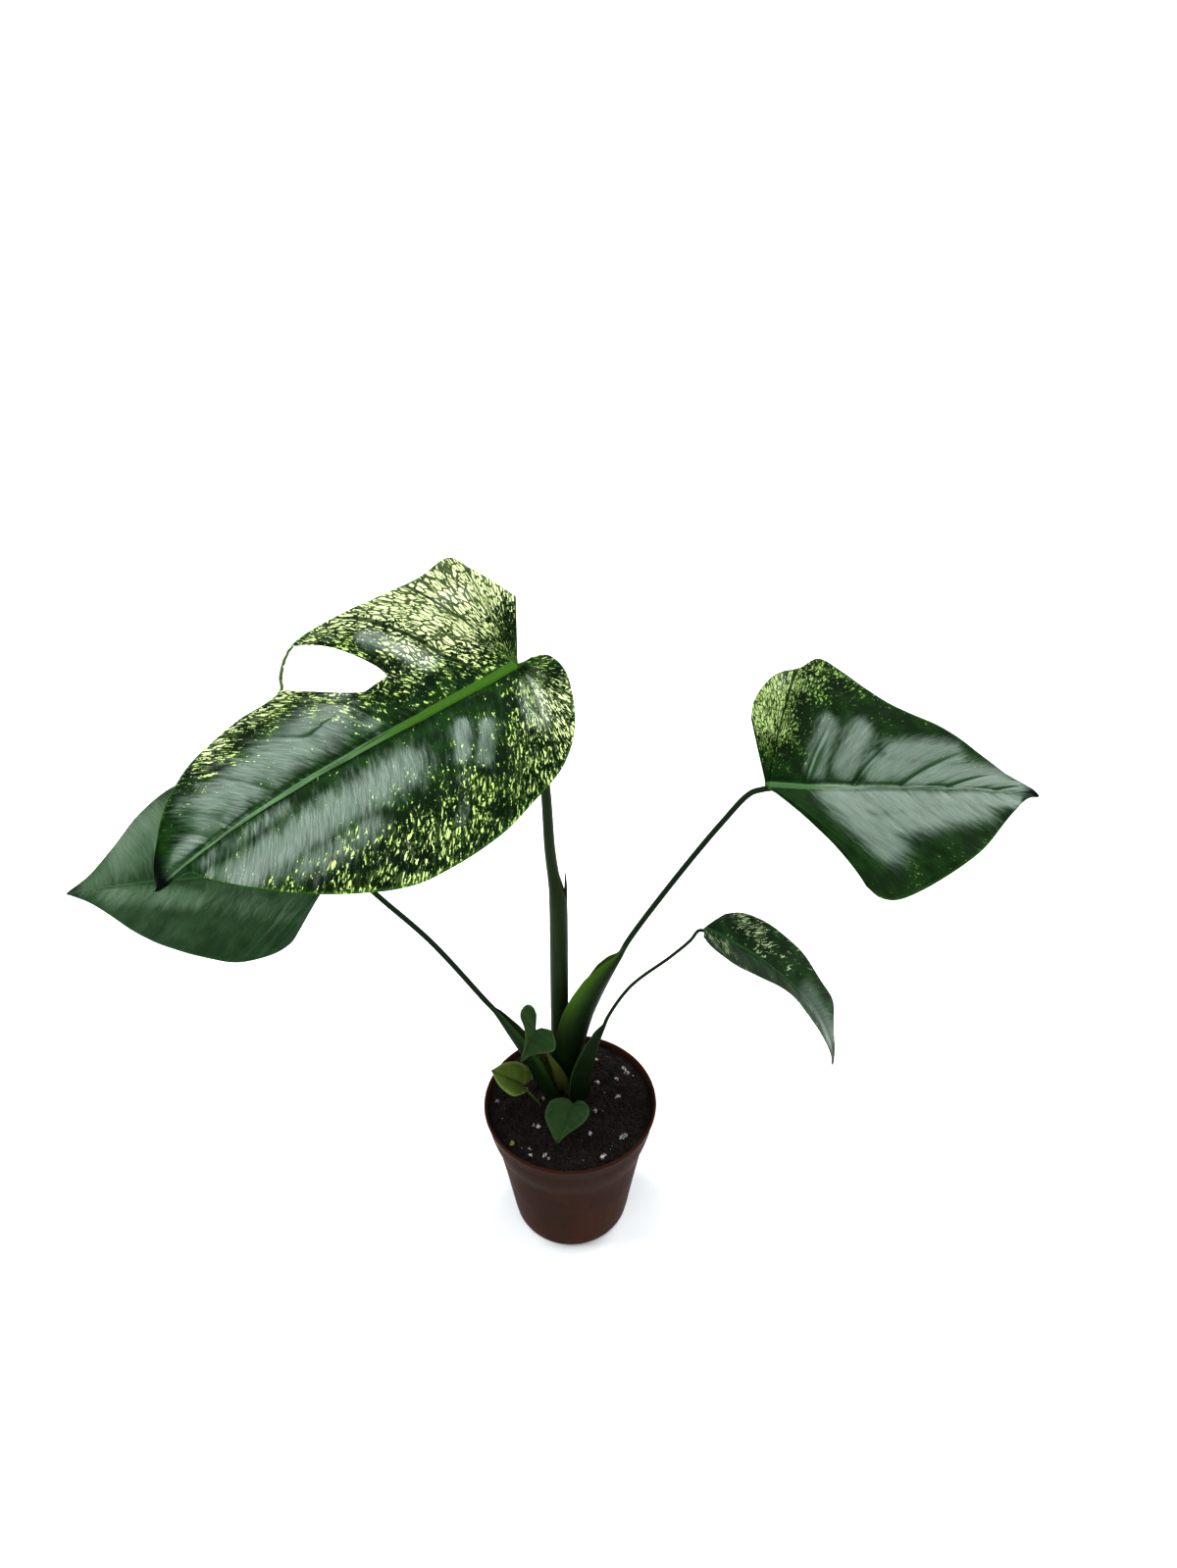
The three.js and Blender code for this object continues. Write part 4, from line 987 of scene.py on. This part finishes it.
# The end of the largest stalk's sheath, and the yellowish inner wing of the left one's
tongues = {
    "large": {"foot": (-2.6, 30, 258), "end": (-1.2, 30, 293), "radii": (1.8, 2.4), "bow": 0.8, "waist": 1,
              "form": (0, 0, 0)},
    "left": {"foot": (-4.2, 13.5, 101), "end": (-16.5, 12.5, 148), "radii": (7.4, 0.8), "bow": 2.4,
             "waist": 0.45, "form": (1, 0, 0)},
}
stalkGrid = (150, 18)
for name, stalk in stalks.items():
    points, faces, attributes = stalkMesh(withJoint(stalk, leaves[name]), stalk["opens"], *stalkGrid)
    if name in tongues:
        points, faces, attributes = addTongue(points, faces, attributes, tongues[name])
    material = stalkFinish("stalk_" + name, stalkLooks[name])
    makePiece("petiole_" + name + "_fine", points, faces, material, "stalk", ["petiole_" + name], attributes)
print("stalks made")


for name, form in seedlings.items():
    leaf = {**leafForm, **seedlingForm, **form}
    points, shell, attributes = bladeMesh(leaf, leaf["thickness"])
    joint = Bend(leaf).place(leaf["stalkWidth"], 0, -leaf["jointDepth"])[0]
    line = [(*p, leaf["stalkWidth"], 0) for p in [*leaf["stalk"], joint]]
    stalkPoints, stalkFaces, stalkAttributes = stalkMesh(line, (0, -1, 0), *leaf["stalkGrid"])
    look = greens["pale" if name == "pale" else "young"]
    slot = "leaf_pale" if name == "pale" else "leaf_young"
    count = len(stalkPoints)
    shell += [[q + len(points) for q in face] for face in stalkFaces]
    skin = leaf["stalkSkin"].items()
    filler = {key: np.broadcast_to(value, (count, *np.shape(value))) for key, value in skin}
    filler["grain"] = stalkAttributes["grain"] * leaf["stalkGrain"]
    attributes = {key: np.concatenate([values, filler[key]]) for key, values in attributes.items()}
    points = np.concatenate([points, stalkPoints])
    material = leafFinish("leaf_" + name, leaf, look)
    makePiece("seedling_" + name + "_fine", points, shell, material, slot, ["seedling_" + name], attributes)
print("seedlings made")


# Pot: heights and radii, from the foot up outside and from the top down at the lip

potForm = {
    "outside": [(0, 37.8), (0.4, 39.4), (1.2, 40.4), (3, 41.2), (10, 42.4), (30, 45.1), (50, 47.9),
                (70, 50.9), (75, 51.6), (78, 52.3), (81, 53.2), (84, 54.2), (87, 55.1), (90, 55.9), (95, 57),
                (100, 57.8), (108.6, 58.9), (109.2, 59.7), (110.6, 60), (111.6, 59.7), (112, 59.1)],
    "lip": [(111.9, 58.5), (111.4, 58.1), (109, 57.6)], "lipFoot": 108,
    "wall": 1.4, "floor": 1.8, "holes": 8, "holeRadius": 4, "holeRing": 27, "holeSides": 24, "sides": 144,
    "deep": (0.031, 0.012, 0.006), "warm": (0.056, 0.020, 0.010), "dust": (0.09, 0.045, 0.028),
    "rim": (0.052, 0.018, 0.011),
}
# Gaps are to the pot, and the sheet is what the small things on the soil are spread on
soilForm = {
    "top": 105, "mound": 1.6, "roughness": 0.9, "seed": 7, "bank": 3.2, "sink": 0.5,
    "topGap": 0.3, "wallGap": 0.4, "floorGap": 0.35, "footCorner": 3,
    "rings": 110, "sides": 300, "depths": [102, 84, 78, 50, 20, 6],
    "sheetHalf": 54, "sheetRadius": 54.5, "sheetSteps": 73, "sheetSink": 0.6, "grainLift": 0.4,
    "dark": (0.004, 0.0028, 0.002), "clod": (0.016, 0.010, 0.007), "grit": (0.03, 0.02, 0.015),
    "thread": (0.05, 0.028, 0.018),
}
crown = {"middle": (-3, 19), "radius": 19}


def innerRadius(z):
    heights, radii = np.array(potForm["outside"]).T
    return np.interp(z, heights, radii) - potForm["wall"]


def lathe(profile, sides):
    # Turns height and radius pairs round the Z axis. Ends on the axis are single points.
    turn = fullTurn(sides)
    points, rows = [], []
    for z, r in profile:
        if r < 1e-6:
            rows.append([len(points)] * sides)
            points.append((0, 0, z))
        else:
            rows.append([len(points) + k for k in range(sides)])
            points += [(r * cos(a), r * sin(a), z) for a in turn]
    faces = []
    for low, high in zip(rows, rows[1:]):
        for k in range(sides):
            n = (k + 1) % sides
            faces.append(list(dict.fromkeys((low[k], low[n], high[n], high[k]))))
    return np.array(points, float), faces


def potFinish():
    finish = Finish("pot_plastic", Specular_IOR_Level=0.03)
    place = finish.place()
    _, _, z = finish.split(place)
    mottle = finish.noise(place, 60.0, 4.0, 0.6)
    cloud = finish.noise(place, 14.0, 3.0)
    grain = finish.noise(place, 900.0, 2.0)
    drawn = finish.noise(finish.vector("MULTIPLY", place, (260, 260, 14)), 1.0, 2.0)
    foot = finish.step(z, 0.02, 0.0) * finish.step(mottle, 0.4, 0.6)
    colour = finish.cover(
        potForm["deep"], (finish.step(cloud, 0.3, 0.75), potForm["warm"]),
        (finish.step(mottle, 0.5, 0.75) * 0.2, potForm["dust"]), (foot * 0.35, potForm["dust"]),
        (finish.step(z, 0.1085, 0.1095) * 0.7, potForm["rim"]))
    height = (grain - 0.5) * 0.03 + (drawn - 0.5) * 0.02 + (mottle - 0.5) * 0.05
    roughness = 0.45 + (mottle - 0.5) * 0.25 + (drawn - 0.5) * 0.1
    return finish.finish(colour, roughness, finish.bump(height))


def makePot():
    wall, floor = potForm["wall"], potForm["floor"]
    inside = [(z, r - wall) for z, r in reversed(potForm["outside"]) if floor + 2 < z < potForm["lipFoot"]]
    closing = [(floor + up, radius) for up, radius in ((1, innerRadius(4)), (0.2, 38.6), (0, 37.8), (0, 0))]
    points, faces = lathe([(0, 0), *potForm["outside"], *potForm["lip"], *inside, *closing], potForm["sides"])
    piece = makePiece("pot_fine", points, faces, potFinish())
    radius = potForm["holeRadius"]
    hole, around = lathe([(-2, 0), (-2, radius), (floor + 2, radius), (floor + 2, 0)], potForm["holeSides"])
    points, faces = [], []
    for k in range(potForm["holes"]):
        angle = 2 * pi * (k + 0.5) / potForm["holes"]
        centre = potForm["holeRing"] * np.array([cos(angle), sin(angle), 0])
        faces += [[q + len(hole) * k for q in face] for face in around]
        points.append(hole + centre)
    drill = bpy.data.meshes.new("drill")
    drill.from_pydata((np.concatenate(points) * mm).tolist(), [], faces)
    cutter = addObject("drill", drill)
    cut = piece.modifiers.new("drain holes", "BOOLEAN")
    cut.object = cutter
    cut.operation = "DIFFERENCE"
    cut.solver = "EXACT"
    applyModifiers(piece)
    bpy.data.objects.remove(cutter)
    declare(piece, "pot", "pot")


def applyModifiers(piece):
    evaluated = piece.evaluated_get(bpy.context.evaluated_depsgraph_get())
    mesh = bpy.data.meshes.new_from_object(evaluated)
    piece.modifiers.clear()
    piece.data = mesh


makePot()
print("pot made")


# Stem and soil

stemForm = {
    "profile": [(62, 0), (62, 0.45), (68, 0.8), (82, 1), (90, 0.94), (92, 1.02), (101, 1), (106, 0.85),
                (109, 0.5), (109, 0)],
    "half": (5.5, 9), "middle": (-2, 17), "sides": 40,
    "deep": (0.012, 0.022, 0.006), "lit": (0.04, 0.05, 0.012),
}


def makeStem():
    finish = Finish("stem_bark")
    x, y, z = finish.split(finish.place())
    rings = finish.noise(finish.join(x * 30, y * 30, z * 400), 1.0, 3.0)
    colour = finish.blend(rings, stemForm["deep"], stemForm["lit"])
    material = finish.finish(colour, 0.7, finish.bump((rings - 0.5) * 0.6))
    points, faces = lathe(stemForm["profile"], stemForm["sides"])
    points = points * (*stemForm["half"], 1) + (*stemForm["middle"], 0)
    makePiece("stem_fine", points, faces, material, "stem", ["stem"])


def soilHeight(x, y):
    broad = np.sin(x * 0.21 + soilForm["seed"]) * np.cos(y * 0.17 + 2)
    fine = np.sin(x * 0.43 - y * 0.37 + soilForm["seed"])
    rise = soilForm["mound"] * (0.5 - (x * x + y * y) / innerRadius(soilForm["top"])**2)
    rise = rise + soilForm["bank"] * smooth(np.hypot(x, y) / 28 - 1) * smooth(0.5 + y / 70)
    return soilForm["top"] + rise + soilForm["roughness"] * (broad + 0.6 * fine)


def crumble(x, y, seed=3):
    # Small lumps: sums of sines in turned directions, sharpened to crumbs, by wavelength and height
    draw = np.random.default_rng(seed)
    total = np.zeros_like(x)
    for size, amount in ((9, 0.5), (5, 0.45), (3, 0.35), (1.9, 0.25), (1.2, 0.16)):
        lumps = np.zeros_like(x)
        for _ in range(5):
            angle, shift = draw.uniform(0, 2 * pi, 2)
            wave = (x * cos(angle) + y * sin(angle)) * 2 * pi / size + shift
            lumps += np.sin(wave + 0.7 * np.sin(y / size + shift))
        total += amount * (1 - np.abs(lumps) / 2)
    return total


def soilFinish():
    finish = Finish("potting_mix", Specular_IOR_Level=0.25)
    place = finish.place()
    clods = finish.noise(place, 170.0, 4.0, 0.65)
    grit = finish.noise(place, 700.0, 3.0, 0.6)
    threads = finish.noise(finish.vector("MULTIPLY", place, (900, 120, 500)), 1.0, 2.0, 0.6, 1.2)
    colour = finish.cover(
        soilForm["dark"], (finish.step(clods, 0.35, 0.7), soilForm["clod"]),
        (finish.step(grit, 0.62, 0.72) * 0.5, soilForm["grit"]),
        (finish.step(threads, 0.62, 0.7) * 0.4, soilForm["thread"]))
    height = (clods - 0.5) * 1.0 + (grit - 0.5) * 0.3
    return finish.finish(colour, 0.85, finish.bump(height))


def makeSoil():
    rings, sides = soilForm["rings"], soilForm["sides"]
    turn = fullTurn(sides)
    outer = innerRadius(soilForm["top"]) - soilForm["topGap"]
    share = np.linspace(0, 1, rings + 1)[1:, None]
    x, y = outer * share * np.cos(turn), outer * share * np.sin(turn)
    z = soilHeight(x, y) + crumble(x, y) * smooth((1 - share) * 12 + 0.25) - soilForm["sink"]
    points = [(0, 0, float(soilHeight(0, 0)))]
    points += np.stack([x, y, z], 2).reshape(-1, 3).tolist()
    depths = [*soilForm["depths"], potForm["floor"] + soilForm["floorGap"]]
    for depth in depths:
        corner = soilForm["footCorner"] if depth == depths[-1] else 0
        radius = innerRadius(depth) - soilForm["wallGap"] - corner
        points += [(radius * cos(a), radius * sin(a), depth) for a in turn]
    rows = rings + len(depths)
    points.append((0, 0, depths[-1]))
    around = [(k, (k + 1) % sides) for k in range(sides)]
    faces = [[0, 1 + k, 1 + n] for k, n in around]
    for a in range(1, 1 + (rows - 1) * sides, sides):
        faces += [[a + k, a + sides + k, a + sides + n, a + n] for k, n in around]
    last = 1 + (rows - 1) * sides
    faces += [[last + sides, last + n, last + k] for k, n in around]
    makePiece("soil_fine", np.array(points), faces, soilFinish(), "soil", ["soil"])


makeStem()
makeSoil()
print("stem and soil made")


# What lies on the soil: perlite, crumbs and fibres, each scattered by one node tree

class Scatter(Tree):
    # Spreads copies of a small shape over a surface or on given points. Its inputs have names and kinds.
    def __init__(self, name, **kinds):
        super().__init__(bpy.data.node_groups.new(name, "GeometryNodeTree"))
        self.inputs = {}
        for side in ("OUTPUT", "INPUT"):
            self.tree.interface.new_socket("Geometry", in_out=side, socket_type="NodeSocketGeometry")
        kinds = {"Density": "Float", "Seed": "Int", "Material": "Material", **kinds}
        for key, kind in kinds.items():
            socket = self.tree.interface.new_socket(key, in_out="INPUT", socket_type="NodeSocket" + kind)
            self.inputs[key] = socket.identifier
        entry = self.tree.nodes.new("NodeGroupInput")
        self.value = {key: Wire(self, self.socket(entry.outputs, key)) for key in ("Geometry", *kinds)}

    def random(self, low, high):
        # A number or a vector for each copy
        kind, suffix = ("FLOAT_VECTOR", "") if isinstance(low, tuple) else ("FLOAT", "_001")
        values = {"Min" + suffix: low, "Max" + suffix: high, "Seed": self.value["Seed"]}
        return self.node("FunctionNodeRandomValue", {"data_type": kind}, values, "Value" + suffix)

    def spread(self):
        value = self.value
        values = {"Mesh": value["Geometry"], "Density": value["Density"], "Seed": value["Seed"]}
        return self.node("GeometryNodeDistributePointsOnFaces", {"distribute_method": "RANDOM"}, values)

    def copies(self, points, shape, turn, scale):
        values = {"Points": points, "Instance": shape, "Rotation": turn, "Scale": scale}
        copies = self.node("GeometryNodeInstanceOnPoints", {}, values)
        return self.node("GeometryNodeRealizeInstances", {}, [copies])

    def shake(self, geometry, scale, reach):
        # Moves every point by noise, up to half of reach each way
        place = self.node("GeometryNodeInputPosition")
        noise = self.node("ShaderNodeTexNoise", {}, {"Vector": place, "Scale": scale, "Detail": 1.0}, 1)
        offset = self.vector("MULTIPLY", self.vector("SUBTRACT", noise, (0.5, 0.5, 0.5)), reach)
        return self.node("GeometryNodeSetPosition", {}, {"Geometry": geometry, "Offset": offset})

    def end(self, geometry):
        values = {"Geometry": geometry, "Material": self.value["Material"]}
        self.node("NodeGroupOutput", {}, [self.node("GeometryNodeSetMaterial", {}, values)])


def grainTree():
    tree = Scatter("grains", Smallest="Float", Largest="Float", Placed="Bool", Sides="Int")
    value = tree.value
    given = tree.node("GeometryNodeMeshToPoints", {}, [value["Geometry"]])
    points = tree.node("GeometryNodeSwitch", {"input_type": "GEOMETRY"},
                       {"Switch": value["Placed"], "False": tree.spread(), "True": given})
    ball = tree.node("GeometryNodeMeshIcoSphere", {}, {"Radius": 1.0, "Subdivisions": value["Sides"]})
    turn = tree.random((0, 0, 0), (6.3, 6.3, 6.3))
    squash = tree.random((0.7, 0.7, 0.5), (1.2, 1.2, 1.0))
    scale = tree.vector("MULTIPLY", squash, tree.random(value["Smallest"], value["Largest"]))
    grains = tree.copies(points, ball, turn, scale)
    tree.end(tree.shake(grains, 900.0, value["Largest"] * 2.0))
    return tree


def fibreTree():
    tree = Scatter("fibres", Length="Float", Thickness="Float")
    values = {"Resolution": 6, "Start": (-0.5, 0, 0), "Middle": (0, 0.25, 0.12), "End": (0.5, 0, 0)}
    thread = tree.node("GeometryNodeCurveQuadraticBezier", {}, values)
    turn = tree.random((-0.25, -0.25, 0), (0.25, 0.25, 6.3))
    length = tree.random(0.35, 1.0) * tree.value["Length"]
    threads = tree.shake(tree.copies(tree.spread(), thread, turn, length), 250.0, (0.003, 0.003, 0.001))
    values = {"Resolution": 3, "Radius": tree.value["Thickness"]}
    ring = tree.node("GeometryNodeCurvePrimitiveCircle", {}, values)
    values = {"Curve": threads, "Profile Curve": ring, "Fill Caps": True}
    tree.end(tree.node("GeometryNodeCurveToMesh", {}, values))
    return tree


def grow(name, base, tree, settings):
    # Runs a scatter tree on a base object and keeps its result as a plain mesh
    carrier = addObject(name + "_carrier", base.data.copy())
    modifier = carrier.modifiers.new("scatter", "NODES")
    modifier.node_group = tree.tree
    for key, value in settings.items():
        modifier[tree.inputs[key]] = value
    bpy.context.view_layer.update()
    applyModifiers(carrier)
    mesh = carrier.data
    bpy.data.objects.remove(carrier)
    mesh.polygons.foreach_set("use_smooth", [True] * len(mesh.polygons))
    declare(addObject(name, mesh), "soil")
    print(name, len(mesh.polygons), "faces")


def crownDistance(x, y):
    # 1 at the edge of the plant's crown, roughly
    (middleX, middleY), radius = crown["middle"], crown["radius"]
    return np.hypot((x - middleX) / radius, (y - middleY) / radius)


def soilSurface():
    # A plain sheet over the open soil, which the small things are spread on
    half = soilForm["sheetHalf"]
    steps = np.linspace(-half, half, soilForm["sheetSteps"])
    x, y = np.meshgrid(steps, steps, indexing="ij")
    inside = (np.hypot(x, y) < soilForm["sheetRadius"]) & (crownDistance(x, y) > 1)
    z = soilHeight(x, y) + crumble(x, y) - soilForm["sheetSink"]
    index = np.arange(x.size).reshape(x.shape)
    whole = inside[:-1, :-1] & inside[1:, :-1] & inside[1:, 1:] & inside[:-1, 1:]
    faces = np.stack([index[:-1, :-1], index[1:, :-1], index[1:, 1:], index[:-1, 1:]], 2)[whole].tolist()
    points = np.stack([x, y, z], 2).reshape(-1, 3)
    return makePiece("soil_surface", points, faces, bpy.data.materials["potting_mix"])


# Grains that show in the photograph: pixel across and pixel down
shownGrains = {
    "white": [(555, 1179), (559, 1181), (615, 1180), (602, 1156), (634, 1160), (638, 1158), (629, 1100),
              (636, 1090), (639, 1094), (627, 1070), (608, 1081), (544, 1148), (549, 1149), (554, 1120),
              (607, 1133), (540, 1172), (541, 1178), (630, 1119), (609, 1104), (507, 1123)],
    "yellow": [(522, 1166)],
}


def onSoil(px, py):
    # The point of the soil's surface that the camera sees at a pixel of the photograph
    camera = bpy.context.scene.camera
    bpy.context.view_layer.update()
    wide, high = view["picture"]
    ray = Vector(((px - wide / 2) / view["focalPixels"], -(py - high / 2) / view["focalPixels"], -1))
    ray = camera.matrix_world.to_3x3() @ ray
    origin = camera.matrix_world.translation / mm
    point = origin
    for _ in range(6):
        height = float(soilHeight(point.x, point.y)) + soilForm["grainLift"]
        point = origin + ray * ((height - origin.z) / ray.z)
    return tuple(point)


# Colours from dark to light, the scale of their pattern in waves a metre, and roughness
softLooks = {
    "perlite_white": ((0.16, 0.15, 0.13), (0.62, 0.61, 0.57), 700.0, 0.8),
    "perlite_yellow": ((0.25, 0.20, 0.06), (0.40, 0.34, 0.12), 300.0, 0.7),
    "crumb_dark": (soilForm["dark"], (0.022, 0.013, 0.009), 160.0, 0.9),
    "fibre_brown": ((0.015, 0.009, 0.005), (0.08, 0.045, 0.026), 120.0, 0.8),
}
shownSizes = {"Placed": True, "Seed": 4, "Sides": 3, "Smallest": 1.1 * mm, "Largest": 1.9 * mm}
strewn = {
    "perlite_small": ("perlite_white", {"Placed": False, "Density": 6000.0, "Seed": 11, "Sides": 2,
                                        "Smallest": 0.25 * mm, "Largest": 0.6 * mm}),
    "crumbs": ("crumb_dark", {"Placed": False, "Density": 420000.0, "Seed": 5, "Sides": 1,
                              "Smallest": 0.4 * mm, "Largest": 1.3 * mm}),
    "fibres": ("fibre_brown", {"Density": 70000.0, "Length": 9 * mm, "Thickness": 0.13 * mm, "Seed": 8}),
}


def softFinish(name, low, high, scale, roughness):
    finish = Finish(name, Specular_IOR_Level=0.3)
    place = finish.place()
    shade = finish.noise(place, scale)
    fine = finish.noise(place, 2500.0)
    colour = finish.blend(finish.step(shade, 0.35, 0.65), low, high)
    return finish.finish(colour, roughness, finish.bump((fine - 0.5) * 0.15))


def dressSoil():
    surface = soilSurface()
    grains, fibres = grainTree(), fibreTree()
    paint = {name: softFinish(name, *look) for name, look in softLooks.items()}
    for name, spots in shownGrains.items():
        material = paint["perlite_" + name]
        points = makePiece("spots", np.array([onSoil(*spot) for spot in spots]), [], material)
        grow("perlite_" + name, points, grains, {**shownSizes, "Material": material})
        bpy.data.objects.remove(points)
    for name, (material, settings) in strewn.items():
        tree = fibres if name == "fibres" else grains
        grow(name, surface, tree, {**settings, "Material": paint[material]})
    bpy.data.objects.remove(surface)


dressSoil()
